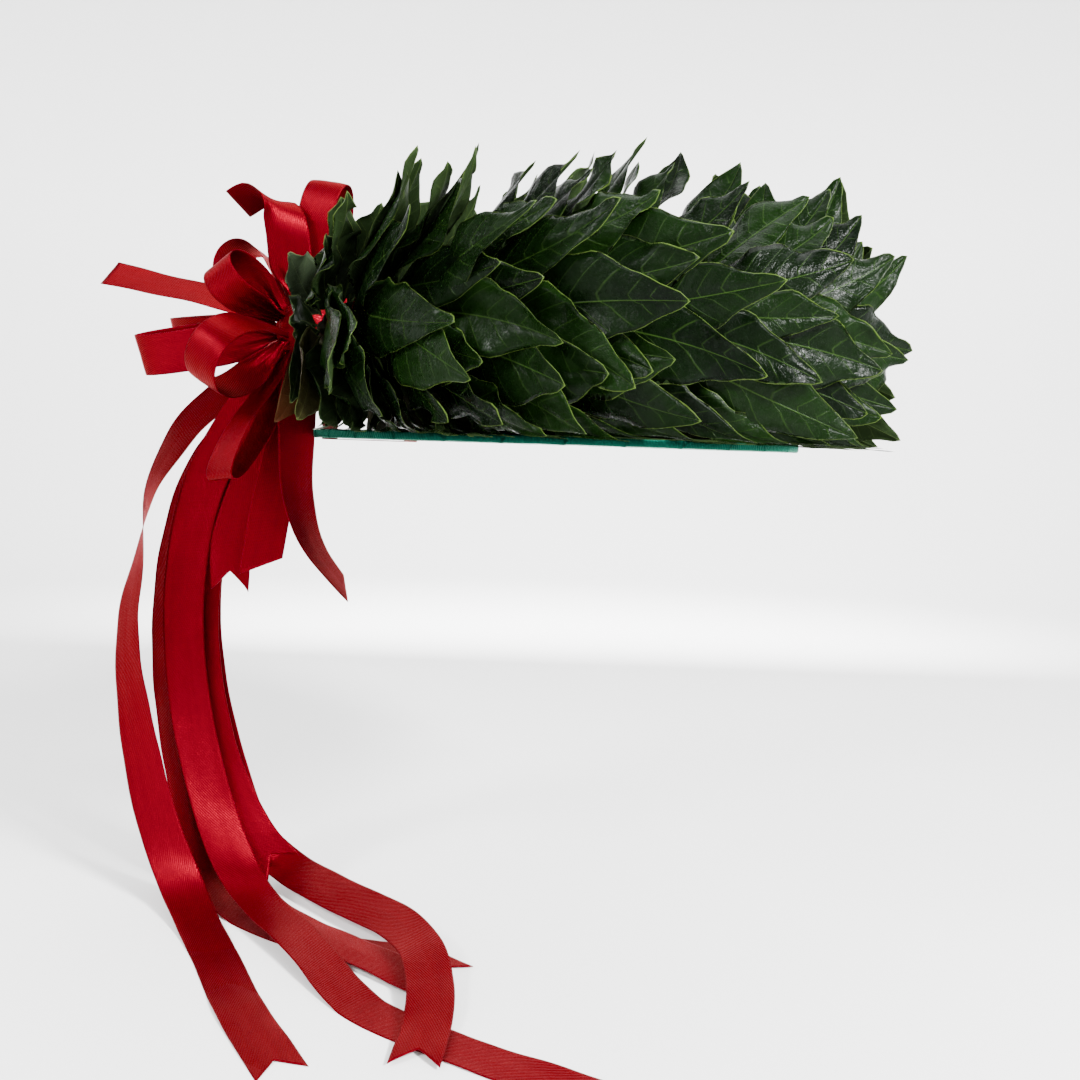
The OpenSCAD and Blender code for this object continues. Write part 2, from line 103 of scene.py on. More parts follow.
# Leaves lift as steeply as on top up to the first of these angles and lie low from the second
STEEP_TO, FLAT_FROM = 112, 140
FLAT_LIFT, FLAT_STAND = 12, 0.1
TOP_ANGLE = 80
FIRST_LEAF, LAST_STALK, TIPS_APART = 37, 9, 3
PRESS_LEN, PRESS_LOW, PRESS_SIDE = 120, 1.2, 0.5
PRESS_ANGLES = [-60, -20, 20, 85]
STAND_LEN, STAND_LOW, STAND_TOP = 110, 0.2, 0.65
CORNER = 0.34
UNDER_SHARE = 0.2
DROOP, DROOP_SHARE, DROOP_NONE, DROOP_OVER = 34, 0.4, 45, 60
TOP_BACK, BACK_FROM, BACK_OVER = 14, 15, 65
SEARCH_STEPS = 30
YOUNG, YOUNG_SHARE = 0.35, 0.14
FLOOR_OUT = [0.24, 0.69, 0.86, 1.03, 1.38]
FLOOR_ANGLE = [118, 90, 68, 56, 44]
WIDTH_EASE, TURN_EASE = 3, 6
SLIM, SLIM_GROWS = 0.3, 0.8
LINER_SHORTER, LINER_EASE = 0.25, 15
SIZE_VARIES, WIDTH_VARIES = 0.1, 0.12
HOLLOW, HOLLOW_VARIES = 0.35, 0.25
TURN_STEP, SIZE_STEP, WIDTH_STEP, HOLLOW_STEP, ROLL_STEP = 0.4142, 0.7549, 0.5698, 0.2361, 0.6823
LIFT_FROM, LIFT_OVER = 5, 40
WAIST_ANGLE, INNER_ANGLE, WALL_SHARE = -110, 140, 0.6

# Leaf shape: [share of the length, share of the width]
LEAF_SHAPE = [[0, 0.05], [0.06, 0.09], [0.12, 0.26], [0.30, 0.80], [0.52, 1.00], [0.70, 0.88], [0.83, 0.56],
              [0.91, 0.30], [0.97, 0.15], [1, 0]]
# Slope of the outline at the stalk and at the tip
LEAF_SLOPES = (1.0, -6.0)
# Branches: side, first step of the leaf order
BRANCHES = {"right": (-1, 0.10), "left": (1, 0.45)}
# Rows of leaves by their angle round the roll
ROWS = {"lower": (-90, -26), "outer": (-26, 18), "upper": (18, 63), "inner": (63, 180)}

# Bow loops: [name, heading, climb, lean, reach, swell]
LOOP_TABLE = [
    ["loop_top",      180,  80,  80, 0.72, 0.22],
    ["loop_arch",     -30,  33,  24, 0.76, 0.32],
    ["loop_small",     50,  30,  30, 0.48, 0.22],
    ["loop_corner",   -62,  60,  40, 0.50, 0.20],
    ["loop_behind",   -18,  -1,  78, 0.92, 0.18],
    ["loop_side",      10, -10,  74, 0.86, 0.20],
    ["loop_front",     64, -20, -26, 0.64, 0.40],
    ["loop_hanging",   66, -55,   8, 0.92, 0.14],
    ["loop_far_low",  -82, -14,  50, 0.60, 0.26],
    ["loop_far_high", -90,  36,  40, 0.56, 0.24]]
LOOP_STEPS = 14
MOUTH, MOUTH_LEN = 1.6, 20
FULLNESS = 1.3
GATHER = 0.3
OPEN_LEN = 24
ROOT = KNOT_R + RIBBON_GAP
STRAIGHT_OUT = 9

# Short tails and streamers: [x, y, z, heading, climb]
CURL_TABLE = [
    [-0.07,  0.00,  0.155, 30,   0],
    [-0.18,  0.02,  0.37,  24,   0],
    [-0.23,  0.03,  0.57,  34,   0],
    [-0.24,  0.08,  0.70,  50, -10],
    [-0.24,  0.21,  0.75,  66, -16],
    [-0.24,  0.33,  0.70,  70, -18]]
STRAIGHT_TABLE = [
    [-0.01,  0.16,  0.07,  88,  35],
    [-0.04,  0.36,  0.14,  88,  34],
    [-0.09,  0.65,  0.21,  88,  34],
    [-0.14,  0.95,  0.27,  88,  36],
    [-0.18,  1.20,  0.32,  88,  38]]
SWALLOW_TABLE = [
    [-0.02, -0.03, -0.165, 12,   0],
    [-0.04,  0.04, -0.46,   6,   0],
    [-0.10,  0.26, -0.86,   6,   0],
    [-0.15,  0.39, -1.28,  14,   0],
    [-0.17,  0.40, -1.60,   0,   0]]
SLANT_TABLE = [
    [-0.06, -0.02, -0.16,  12,   0],
    [-0.13,  0.02, -0.52,  10,   0],
    [-0.20,  0.11, -1.02,   8,   0],
    [-0.25,  0.17, -1.50,   6,   0]]
POINT_TABLE = [
    [-0.14, -0.05, -0.08,  34,   0],
    [-0.27, -0.07, -0.50,  50,   0],
    [-0.32, -0.10, -1.00,  68,   0],
    [-0.33, -0.23, -1.32,  84,   0],
    [-0.34, -0.48, -1.58,  92,   0]]
LEFT_TABLE = [
    [-0.006, 0.040, -0.030,  90,  0],
    [-0.008, 0.130, -0.098,  64,  0],
    [-0.042, 0.200, -0.175,  72,  0],
    [-0.075, 0.247, -0.280, 104,  0],
    [-0.075, 0.265, -0.390, 130,  0],
    [-0.075, 0.288, -0.520, 150,  0],
    [-0.075, 0.280, -0.660, 170,  0],
    [-0.080, 0.238, -0.835, 190,  0],
    [-0.118, 0.158, -0.965, 200,  0],
    [-0.244, 0.040, -1.000, 212,  0],
    [-0.402, -0.085, -1.000, 214, 0],
    [-0.536, -0.209, -1.000, 218, 0]]
UNDER_TABLE = [
    [ 0.022, 0.038, -0.036,  75,  0],
    [ 0.066, 0.125, -0.112,  75,  0],
    [ 0.052, 0.215, -0.230,  75,  0],
    [ 0.015, 0.252, -0.390,  76,  0],
    [ 0.000, 0.260, -0.540,  78,  0],
    [-0.010, 0.245, -0.690,  80,  0],
    [-0.017, 0.202, -0.862,  76,  0],
    [-0.035, 0.150, -0.972,  62,  0],
    [-0.115, 0.040, -1.000,  50,  0],
    [-0.170, -0.090, -1.000, 66,  0],
    [-0.180, -0.190, -1.000, 76,  0],
    [-0.185, -0.270, -1.000, 72,  0],
    [-0.225, -0.360, -1.000, 60,  0]]
LOW_TABLE = [
    [ 0.032, 0.020, -0.032,  75,  0],
    [ 0.090, 0.092, -0.130,  75,  0],
    [ 0.080, 0.170, -0.250,  75,  0],
    [ 0.060, 0.215, -0.390,  76,  0],
    [ 0.045, 0.228, -0.540,  76,  0],
    [ 0.032, 0.216, -0.690,  76,  0],
    [ 0.020, 0.178, -0.862,  70,  0],
    [-0.008, 0.115, -0.962,  56,  0],
    [-0.095, 0.010, -0.990,  54,  0],
    [-0.180, -0.135, -0.991, 62,  0],
    [-0.241, -0.255, -0.992, 62,  0],
    [-0.284, -0.339, -0.993, 62,  0]]
LONG_TABLE = [
    [-0.010, 0.022, -0.043,  12,  0],
    [-0.030, 0.096, -0.140,   8,  0],
    [-0.042, 0.160, -0.260,  12,  0],
    [-0.040, 0.196, -0.400,  12,  0],
    [-0.042, 0.202, -0.540,  14,  0],
    [-0.045, 0.180, -0.694,  16,  0],
    [-0.056, 0.126, -0.862,  22,  0],
    [-0.100, 0.045, -0.955,  34,  0],
    [-0.220, -0.100, -0.978, 46,  0],
    [-0.350, -0.246, -1.000, 48,  0],
    [-0.414, -0.384, -1.000, 62,  0],
    [-0.458, -0.505, -1.000, 70,  0],
    [-0.490, -0.615, -1.000, 72,  0]]
OVER_TABLE = [
    [ 0.000, 0.016, -0.046,   8,  0],
    [-0.004, 0.090, -0.160,   8,  0],
    [-0.010, 0.154, -0.300,   6,  0],
    [-0.014, 0.184, -0.450,   4,  0],
    [-0.018, 0.178, -0.600,   4,  0],
    [-0.024, 0.138, -0.760,   8,  0],
    [-0.030, 0.075, -0.880,  12,  0],
    [-0.030, 0.015, -0.945,  14,  0]]
FOLD_TABLE = [
    [ 0.014, 0.012, -0.045,   8,  0],
    [ 0.026, 0.095, -0.170,   6,  0],
    [ 0.016, 0.166, -0.310,   6,  0],
    [ 0.008, 0.192, -0.460,   6,  0],
    [ 0.006, 0.182, -0.620,  10,  0],
    [ 0.012, 0.145, -0.780,  18,  0],
    [ 0.020, 0.100, -0.900,  34,  0],
    [ 0.020, 0.025, -0.962,  54, 20],
    [-0.066, -0.110, -0.966, 60, 26],
    [-0.143, -0.224, -0.962, 44, 20],
    [-0.221, -0.296, -0.964, 26,  8],
    [-0.302, -0.336, -0.976, 16,  0],
    [-0.383, -0.357, -0.986, 12,  0],
    [-0.485, -0.368, -0.994, 10,  0]]

SWALLOW_CUT = [0, 12, 0]
SLANT_CUT = [0, 7, 14]
POINT_CUT = [0, 9, 18]
SQUARE_CUT = [0, 0, 0]

# Small helpers


def frac(x):
    return x - np.floor(x)


def smooth(x):
    t = np.clip(x, 0, 1)
    return t*t*(3 - 2*t)


def unit(v):
    return v/np.linalg.norm(v, axis=-1, keepdims=True)


def dot(a, b):
    return (a*b).sum(-1, keepdims=True)


def spread(i, step):
    """An even spread of values from -1 to 1, different for each step."""
    return 2*frac(i*step) - 1


def make_piece(name, points, faces, materials, facts, node, uv=None, kinds=None):
    """A smooth mesh piece from points in millimetres. uv is in millimetres, facts are values at points,
    and kinds says which of the materials each face has."""
    mesh = bpy.data.meshes.new(name)
    mesh.from_pydata((np.asarray(points)*MM).tolist(), [], [list(map(int, f)) for f in faces])
    for made in materials:
        mesh.materials.append(made)
    if kinds is not None:
        mesh.polygons.foreach_set("material_index", np.asarray(kinds, np.int32))
    mesh.polygons.foreach_set("use_smooth", np.ones(len(mesh.polygons), bool))
    if uv is not None:
        corners = np.zeros(len(mesh.loops), np.int32)
        mesh.loops.foreach_get("vertex_index", corners)
        layer = mesh.uv_layers.new(name="UVMap")
        layer.data.foreach_set("uv", (np.asarray(uv)[corners]*MM).astype(np.float32).ravel())
    for key, values in facts.items():
        mesh.attributes.new(key, "FLOAT", "POINT").data.foreach_set(
            "value", np.asarray(values, np.float32).ravel())
    mesh.validate()
    mesh.update()
    piece = bpy.data.objects.new(name, mesh)
    bpy.context.scene.collection.objects.link(piece)
    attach(piece, BODY)
    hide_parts(node)
    return piece


# Materials


class Surface:
    """A material built from nodes round one principled shader."""

    def __init__(self, name, **values):
        self.made = bpy.data.materials.new(name)
        self.made.use_nodes = True
        self.tree = self.made.node_tree
        self.shader = self.tree.nodes["Principled BSDF"]
        for key, value in values.items():
            self.shader.inputs[key].default_value = value

    def link(self, value, socket):
        if isinstance(value, bpy.types.NodeSocket):
            self.tree.links.new(value, socket)
        else:
            socket.default_value = value

    def node(self, kind, *inputs, out=0, named=None, **settings):
        """A node with values or links for its first inputs, and for the named or numbered ones."""
        made = self.tree.nodes.new(kind)
        for key, value in settings.items():
            setattr(made, key, value)
        for key, value in [*enumerate(inputs), *(named or {}).items()]:
            if value is not None:
                self.link(value, made.inputs[key])
        return made.outputs[out]

    def math(self, operation, a, b=None, c=None, clamp=False):
        return self.node("ShaderNodeMath", a, b, c, operation=operation, use_clamp=clamp)

    def fact(self, name):
        return self.node("ShaderNodeAttribute", out=2, attribute_name=name)

    def step(self, value, low, high, start=0.0, end=1.0):
        """start below low, end above high, smooth between."""
        return self.node("ShaderNodeMapRange", value, low, high, start, end, interpolation_type="SMOOTHSTEP")

    def mix(self, share, a, b):
        return self.node("ShaderNodeMix", share, out=2, named={6: a, 7: b}, data_type="RGBA")

    def places(self):
        return self.node("ShaderNodeTexCoord", out=3)

    def scaled(self, vector, scale, turn=0.0):
        return self.node("ShaderNodeMapping", vector, named={"Scale": scale, "Rotation": (0, 0, turn)})

    def noise(self, vector, scale, detail=2.0, rough=0.5):
        inputs = {"Vector": vector, "Scale": scale, "Detail": detail, "Roughness": rough}
        return self.node("ShaderNodeTexNoise", named=inputs)

    def bump(self, height, depth, under=None):
        """Bump with heights from 0 to 1 standing for depth in metres, on top of the one under it."""
        return self.node("ShaderNodeBump", named={"Distance": depth, "Height": height, "Normal": under})

    def shows(self, **sockets):
        for key, value in sockets.items():
            self.link(value, self.shader.inputs[key.replace("_", " ")])
        return self.made


DRY_BROWN = (0.045, 0.011, 0.004, 1)
PALE_GREEN = (0.055, 0.070, 0.045, 1)
# Scales of the noise in leaves: patches, mottle, slow waves and the net of cells
PATCH_SCALE, MOTTLE_SCALE, WAVE_SCALE, CELL_SCALE = 38, 420, 100, 620
# Depths in metres: puckers between veins, waves, net of cells, veins
PUCKER_DEPTH, WAVE_DEPTH, NET_DEPTH, VEIN_DEPTH = 0.0003, 0.0022, 0.00005, 0.0001
LEAST_ROUGH = 0.10


def leaf_surface(name, dark, light, vein, rim, gloss, relief, mirror):
    """Laurel leaf: midrib, side veins, a pale rim, fine puckers between the veins, and gloss."""
    s = Surface(name, **{"IOR": 1.48, "Specular IOR Level": mirror})
    places = s.places()
    across, phase = s.fact("across"), s.fact("phase")
    edge, tint, along = s.fact("rim"), s.fact("tint"), s.fact("along")
    beside = s.math("ABSOLUTE", across)
    midrib_w = s.step(along, 0.0, 1.0, 0.8, 0.2)
    midrib = s.step(s.math("DIVIDE", beside, midrib_w), 0.45, 1.0, 1.0, 0.0)
    off_vein = s.math("ABSOLUTE", s.math("SUBTRACT", s.math("FRACT", phase), 0.5))
    veins = s.math("MULTIPLY", s.step(off_vein, 0.01, 0.055, 1.0, 0.0), s.step(edge, 0.5, 4.0))
    margin = s.step(edge, 0.10, 0.42, 1.0, 0.0)
    patches = s.noise(places, PATCH_SCALE, 3)
    mottle = s.noise(places, MOTTLE_SCALE, 2, 0.6)
    shade = s.math("MULTIPLY_ADD", patches, 0.7, -0.15)
    shade = s.math("ADD", shade, s.math("MULTIPLY", tint, 0.6), clamp=True)
    body = s.mix(shade, dark, light)
    body = s.mix(s.math("MULTIPLY", mottle, 0.35), body, dark)
    body = s.mix(s.math("MULTIPLY", veins, 0.19), body, vein)
    body = s.mix(s.math("MULTIPLY", midrib, 0.48), body, vein)
    body = s.mix(s.math("MULTIPLY", margin, 0.6), body, rim)
    body = s.mix(s.math("MULTIPLY", s.fact("dry"), s.step(patches, 0.2, 0.6, 0.4)), body, DRY_BROWN)
    body = s.mix(s.fact("pale"), body, PALE_GREEN)
    pucker = s.math("SINE", s.math("MULTIPLY", s.math("FRACT", phase), math.pi))
    cells = s.node("ShaderNodeTexVoronoi", named={"Vector": places, "Scale": CELL_SCALE},
                   feature="DISTANCE_TO_EDGE")
    net = s.step(cells, 0.0, 0.18)
    waves = s.noise(places, WAVE_SCALE, 2)
    normal = s.bump(pucker, PUCKER_DEPTH*relief)
    normal = s.bump(waves, WAVE_DEPTH*relief, normal)
    normal = s.bump(net, NET_DEPTH, normal)
    normal = s.bump(s.math("MAXIMUM", midrib, veins), VEIN_DEPTH, normal)
    rough = s.math("ADD", s.math("MULTIPLY", mottle, 0.15), s.math("MULTIPLY", patches, gloss))
    rough = s.math("ADD", rough, LEAST_ROUGH, clamp=True)
    return s.shows(Base_Color=body, Roughness=rough, Normal=normal)


TWILL_SCALE, TWILL_ANGLE, STITCH_SCALE = 260, 28, 300
# Scales of the ribbon's threads and streaks, across and along
THREADS_AT, STREAKS_AT = (2600, 900, 1), (240, 12, 1)
STREAK_SHARE, THREAD_SHARE = 0.25, 0.605
SATIN_DEPTH = 0.00015


def satin(name, deep, bright, shine):
    """Satin ribbon: fine slanted weave, thread glitter, a woven edge and long soft streaks."""
    s = Surface(name, **{"IOR": 1.5, "Anisotropic": 0.6, "Metallic": 0.7, "Specular IOR Level": 0.08,
                         "Specular Tint": shine})
    uv = s.node("ShaderNodeUVMap", uv_map="UVMap")
    s.link(s.node("ShaderNodeTangent", direction_type="UV_MAP", uv_map="UVMap"), s.shader.inputs["Tangent"])
    twill = s.node("ShaderNodeTexWave", s.scaled(uv, (1, 1, 1), math.radians(TWILL_ANGLE)),
                   named={"Scale": TWILL_SCALE, "Distortion": 1.2, "Detail": 1}, wave_type="BANDS")
    threads = s.noise(s.scaled(uv, THREADS_AT), 1.0, 1)
    streaks = s.noise(s.scaled(uv, STREAKS_AT), 1.0, 2)
    edge = s.fact("edge")
    selvage = s.step(edge, 0.6, 1.1, 1.0, 0.0)
    stitch = s.node("ShaderNodeTexWave", uv, named={"Scale": STITCH_SCALE}, wave_type="BANDS",
                    bands_direction="Y")
    tone = s.math("ADD", s.math("MULTIPLY", streaks, STREAK_SHARE), s.math("MULTIPLY", threads, THREAD_SHARE),
                  clamp=True)
    tone = s.math("MULTIPLY", tone, s.step(selvage, 0.0, 1.0, 1.0, 0.85))
    body = s.mix(tone, deep, bright)
    height = s.math("ADD", s.math("MULTIPLY", twill, 0.8), s.math("MULTIPLY", threads, 0.8))
    height = s.math("ADD", height, s.math("MULTIPLY", selvage, stitch))
    rough = s.step(threads, 0.3, 0.75, 0.46, 0.26)
    normal = s.bump(streaks, SATIN_DEPTH)
    normal = s.bump(height, SATIN_DEPTH, normal)
    return s.shows(Base_Color=body, Roughness=rough, Normal=normal)


# Stem colours: dark, partly the stems' own and partly painted shade for the gaps between the leaves
STEM_DARK, STEM_LIGHT = (0.0025, 0.0040, 0.0015, 1), (0.016, 0.018, 0.006, 1)
# The second colour on this line is painted shade, laid into the grooves between the stems
STEM_BROWN, STEM_GROOVE_SHADE = (0.010, 0.006, 0.003, 1), (0.0007, 0.0010, 0.0005, 1)
BARK_DEPTH = 0.0008


def stem_surface():
    """Bound stems: dark brown green bark with lengthwise grain and painted shade in the grooves between the stems;
    their dark colour is partly their own and partly painted shade for the gaps between the leaves.
    """
    s = Surface("stem_bark", **{"IOR": 1.45, "Specular IOR Level": 0.04})
    places = s.places()
    grain = s.noise(places, 260, 4, 0.6)
    patches = s.noise(places, 40, 2)
    body = s.mix(grain, STEM_DARK, STEM_LIGHT)
    body = s.mix(s.math("MULTIPLY", patches, 0.5), body, STEM_BROWN)
    # Painted shade: the grooves between the stems are darkened
    body = s.mix(s.step(s.fact("groove_shade"), 0.25, 0.9), body, STEM_GROOVE_SHADE)
    rough = s.step(grain, 0.2, 0.8, 0.55, 0.8)
    return s.shows(Base_Color=body, Roughness=rough, Normal=s.bump(grain, BARK_DEPTH))


STUDIO_WHITE = (0.86, 0.86, 0.86, 1)


def plain_surface(name, colour, grain_scale, grain_share):
    """Floor and backdrop: pale, matt, with the faintest cloudiness."""
    s = Surface(name, **{"Roughness": 0.75})
    cloud = s.noise(s.places(), grain_scale, 2)
    darker = tuple(c*(1 - grain_share) for c in colour[:3]) + (1,)
    return s.shows(Base_Color=s.mix(cloud, colour, darker))


leaf_top = leaf_surface("laurel_upper", (0.0004, 0.0013, 0.0005, 1), (0.0034, 0.0120, 0.0014, 1),
                        (0.028, 0.062, 0.010, 1), (0.07, 0.115, 0.022, 1), gloss=0.20, relief=0.46, mirror=0.042)
leaf_under = leaf_surface("laurel_under", (0.005, 0.011, 0.003, 1), (0.014, 0.025, 0.008, 1),
                          (0.05, 0.08, 0.02, 1), (0.08, 0.12, 0.03, 1), gloss=0.80, relief=0.4, mirror=0.03)
red_satin = satin("red_satin", (0.045, 0.0001, 0.0022, 1), (0.155, 0.0002, 0.0070, 1), (1, 0.05, 0.09, 1))
green_satin = satin("green_satin", (0.000, 0.012, 0.008, 1), (0.001, 0.040, 0.026, 1), (0.25, 1, 0.75, 1))
bark = stem_surface()

# Leaves


def ramp(x):
    """A slope that starts at none and is steady after 1."""
    t = np.clip(x, 0, 1)
    return t**3 - t**4/2


def pressed(angle):
    """How steeply leaves beside the bow climb, as a share of the others' slope."""
    return np.interp(angle, PRESS_ANGLES, [PRESS_LOW, PRESS_SIDE, PRESS_SIDE, 1])


def standing(angle):
    """How much more the last leaves of a branch climb at its front end."""
    return np.interp(angle, [0, TOP_ANGLE, STEEP_TO, FLAT_FROM], [STAND_LOW, STAND_TOP, STAND_TOP, FLAT_STAND])


def climb(a, angle):
    """How far leaves have climbed at the distance a along the branch, before the lift is applied."""
    t = np.minimum(1, a/PRESS_LEN)
    return (a - (1 - pressed(angle))*PRESS_LEN*(t - ramp(t))
            + standing(angle)*STAND_LEN*ramp((a - HALF_LEN + STAND_LEN)/STAND_LEN))


def lift_rate(angle):
    """Rise over distance of the leaves at an angle."""
    angles = [LOW_ANGLE, 0, TOP_ANGLE, STEEP_TO, FLAT_FROM]
    return np.tan(np.radians(np.interp(angle, angles, LIFTS + [LIFTS[-1], FLAT_LIFT])))


def surface_out(a, start, angle):
    """Distance from the middle of the roll of the surface that a leaf with this start lies on."""
    return ROLL_R + LEAF_GAP + lift_rate(angle)*np.maximum(0, climb(a, angle) - climb(start, angle))


def start_at(goal, a):
    """Where along the branch the climb reaches the goal, searched from a."""
    for _ in range(SEARCH_STEPS):
        slope = climb(a + 0.5, 0) - climb(a - 0.5, 0)
        a = a - (climb(a, 0) - goal)/slope
    return a


def leaf_angle(i, first):
    """The angle round the roll of a leaf, with more leaves on the outer side than inside."""
    share = frac(i*GOLDEN + first)
    return LOW_ANGLE + (HIGH_ANGLE - LOW_ANGLE)*(share - CROWDED*share*(1 - share))


def leaf_start(i, angle):
    """Where along the branch the stalk of leaf i is."""
    share = i/(LEAF_COUNT - 1)
    nearest, furthest = climb(FIRST_LEAF, 0), climb(HALF_LEN - LAST_STALK, 0)
    return (start_at(nearest + share*(furthest - nearest), FIRST_LEAF + share*(HALF_LEN - FIRST_LEAF - LAST_STALK))
            + TOP_BACK*smooth((angle - BACK_FROM)/BACK_OVER)*(1 - share)**3)


def bulged(angle, out):
    """Fuller below the middle, towards the lower outer corner."""
    return np.where(angle > 0, out, out + (out - ROLL_R)*CORNER*np.sin(np.radians(2*angle))**2)


def bent(angle, out):
    """Angles below the middle, held back so that leaves stay over the ring's underside."""
    floor_angle = np.interp(out/ROLL_Z, FLOOR_OUT, FLOOR_ANGLE)
    return np.where(angle > 0, angle, angle/(1 + (angle/floor_angle)**4)**0.25)


def level(z, a):
    """Below the ring's underside leaves lie nearly level, but hang free by the bow."""
    return np.where(z > 0, z, z*(UNDER_SHARE + (1 - UNDER_SHARE)*smooth(1 - a/PRESS_LEN)))


def stacked(x, y, z):
    """Points from three grids of coordinates."""
    return np.stack(np.broadcast_arrays(x, y, z), -1)


def leaf_facts(i, angle):
    """Place, lift, size and turn of leaf i at its angle."""
    start = leaf_start(i, angle)
    shorter = YOUNG*smooth(1 - i/(LEAF_COUNT - 1)/YOUNG_SHARE)
    size = (1 - SIZE_VARIES*(1 - spread(i, SIZE_STEP)))*(1 - shorter)
    size = size*(1 - LINER_SHORTER*smooth((angle - HIGH_ANGLE)/LINER_EASE))
    rise = climb(start + LIFT_FROM + LIFT_OVER, angle) - climb(start + LIFT_FROM, angle)
    fade = smooth(1 - i/(LEAF_COUNT - 1)/DROOP_SHARE)*smooth((DROOP_NONE - angle)/DROOP_OVER)
    turn = LEAF_TURN*spread(i, TURN_STEP) - DROOP*fade
    lift = math.atan(lift_rate(angle)*rise/LIFT_OVER)
    long = min(LEAF_LEN*size, (HALF_LEN - TIPS_APART - start)/math.cos(lift))
    half_w = LEAF_W/2*(1 - WIDTH_VARIES*(1 - spread(i, WIDTH_STEP)))*min(1, SLIM + SLIM_GROWS*long/LEAF_LEN)
    return {"angle": angle, "start": start, "along": long*math.cos(lift), "lift": lift, "half_w": half_w,
            "turn": math.radians(turn*min(1, long/LEAF_LEN)), "long": long,
            "hollow": HOLLOW + HOLLOW_VARIES*spread(i, HOLLOW_STEP),
            "roll": math.tan(math.radians(LEAF_ROLL*spread(i, ROLL_STEP)))}


def leaf_point(f, side, s, e, n):
    """A point of a leaf: share s along it, distance e across it, height n over its middle."""
    ahead = f["along"]*s*math.cos(f["turn"])
    a = f["start"] + ahead - e*math.sin(f["turn"])*math.cos(f["lift"])
    mid_out = surface_out(f["start"] + ahead, f["start"], f["angle"])
    sideways = (f["along"]/math.cos(f["lift"])*s*math.sin(f["turn"])/((ROLL_R + mid_out)/2 + TURN_EASE)
                + e*math.cos(f["turn"])/(mid_out + WIDTH_EASE))
    angle = f["angle"] + np.degrees(sideways)
    out = surface_out(a, f["start"], angle)
    bend = np.radians(bent(angle, out))
    t = a/ROLL_AT
    out_dir = stacked(side*np.cos(bend)*np.sin(t), np.cos(bend)*np.cos(t), np.sin(bend))
    along_dir = stacked(side*np.cos(t), -np.sin(t), 0*t)
    normal = math.cos(f["lift"])*out_dir - math.sin(f["lift"])*along_dir
    far = bulged(np.degrees(bend), out)
    r = ROLL_AT + far*np.cos(bend)
    place = stacked(side*r*np.sin(t), r*np.cos(t), level(ROLL_Z + far*np.sin(bend), a))
    place = place + normal*(n + f["hollow"]*e*e/2/out + f["roll"]*e)[..., None]
    height = place[..., 2] - CLEAR_Z
    free = UNDER_SHARE + (1 - UNDER_SHARE)*smooth(1 - a/PRESS_LEN)
    place[..., 2] = CLEAR_Z + free*height + (1 - free)*(height + np.sqrt(height**2 + LEVEL_SOFT**2))/2
    return place


LEAF_ROWS, LEAF_COLUMNS = 30, 12
# Small leaves between the first ones, where they crowd beside the bow: first and last step of each branch
FILLERS = {"right": (4, 40), "left": (1, 40)}
# Leaves that lie low over the top and the inner side of the roll: how many, the first step and the
# step between them, and the angles they lie at
LINERS, LINER_FIRST, LINER_STEP = 35, -4, 2.55
LINER_ANGLES = (114, 138)
VISIBLE_T = 0.5
# Leaves by the bow that are dry and brown, or pale, and how much so
DRY = {("right", 2): 0.9, ("right", 7): 0.25, ("left", 6): 0.35}
PALE = {("right", 1): 0.32, ("right", 8): 0.2}
# The thin lower leaves of the scene end above this height, so that the wound rim shows under them
CLEAR_Z = 4
LEVEL_SOFT = 6
# Side veins: their distance, how they slant and curve towards the tip, how far those of one side lie behind
# the other's, how they differ from leaf to leaf, and how unevenly they follow each other
VEIN_STEP, VEIN_SLANT, VEIN_CURVE, VEIN_SHIFT, VEIN_VARIES = 9.5, 0.6, 0.02, 0.25, 0.4
VEIN_WANDER, WANDER_STEP = 0.16, 1.9
# The pale rim: how wide it is at most by the tip and at the root
TIP_RIM, ROOT_RIM = 0.35, 2
# Uneven margins: [half waves along the leaf, share of the width]
UNEVEN = [[7, 0.06], [13, 0.035]]
# In millimetres, each with how much it varies from leaf to leaf: depth of the margin's waves, drop of the tip.
# The number of waves along a leaf comes first.
WAVES, WAVES_VARY = 2.6, 1.1
DEEP, DEEP_VARIES = 2.8, 1.4
CURL, CURL_VARIES = 5, 6
SAG, BEND, SWING, TWIST = 2.2, 11, 0.15, 0.22
SECOND_WAVE, SECOND_SHARE = 2.3, 0.3
CREASE, CREASE_SHARE, CUP = 0.8, 0.12, 1.1
# Shares of the length: where the tip starts to drop and to bend aside, where waves and twist begin,
# and over how much of it each of them comes and goes
CURL_FROM, SICKLE_FROM, TWIST_FROM = 0.66, 0.35, 0.1
WAVE_FROM, WAVE_OVER, WAVE_TO, WAVE_END, FADE_SHARE = 0.08, 0.2, 1.02, 0.12, 0.3
# Waves keep to the margin, and the two sides of a leaf are out of step by this angle
MARGIN_POWER, SIDE_SHIFT = 2.2, 1.3
# Leaves turn aside freely from this distance along the branch on
FREE_FROM, FREE_OVER = 27, 90
# Steps that spread the values evenly from leaf to leaf
STEPS = {"bend": 0.3819, "swing": 0.4331, "waves": 0.3247, "deep": 0.8191, "start": 0.5257, "curl": 0.7071,
         "sag": 0.2718, "twist": 0.6180, "vein": 0.1, "tint": 0.4567}
LEFT_CODE = 501


def leaf_width(s):
    """A smooth outline through the shape's stations."""
    x, y = np.array(LEAF_SHAPE).T
    slope = np.gradient(y, x)
    slope[0], slope[-1] = LEAF_SLOPES
    k = np.clip(np.searchsorted(x, s) - 1, 0, len(x) - 2)
    h, t = x[k + 1] - x[k], (s - x[k])/(x[k + 1] - x[k])
    made = ((2*t**3 - 3*t**2 + 1)*y[k] + (t**3 - 2*t**2 + t)*h*slope[k]
            + (3*t**2 - 2*t**3)*y[k + 1] + (t**3 - t**2)*h*slope[k + 1])
    return np.maximum(made, 0.0)


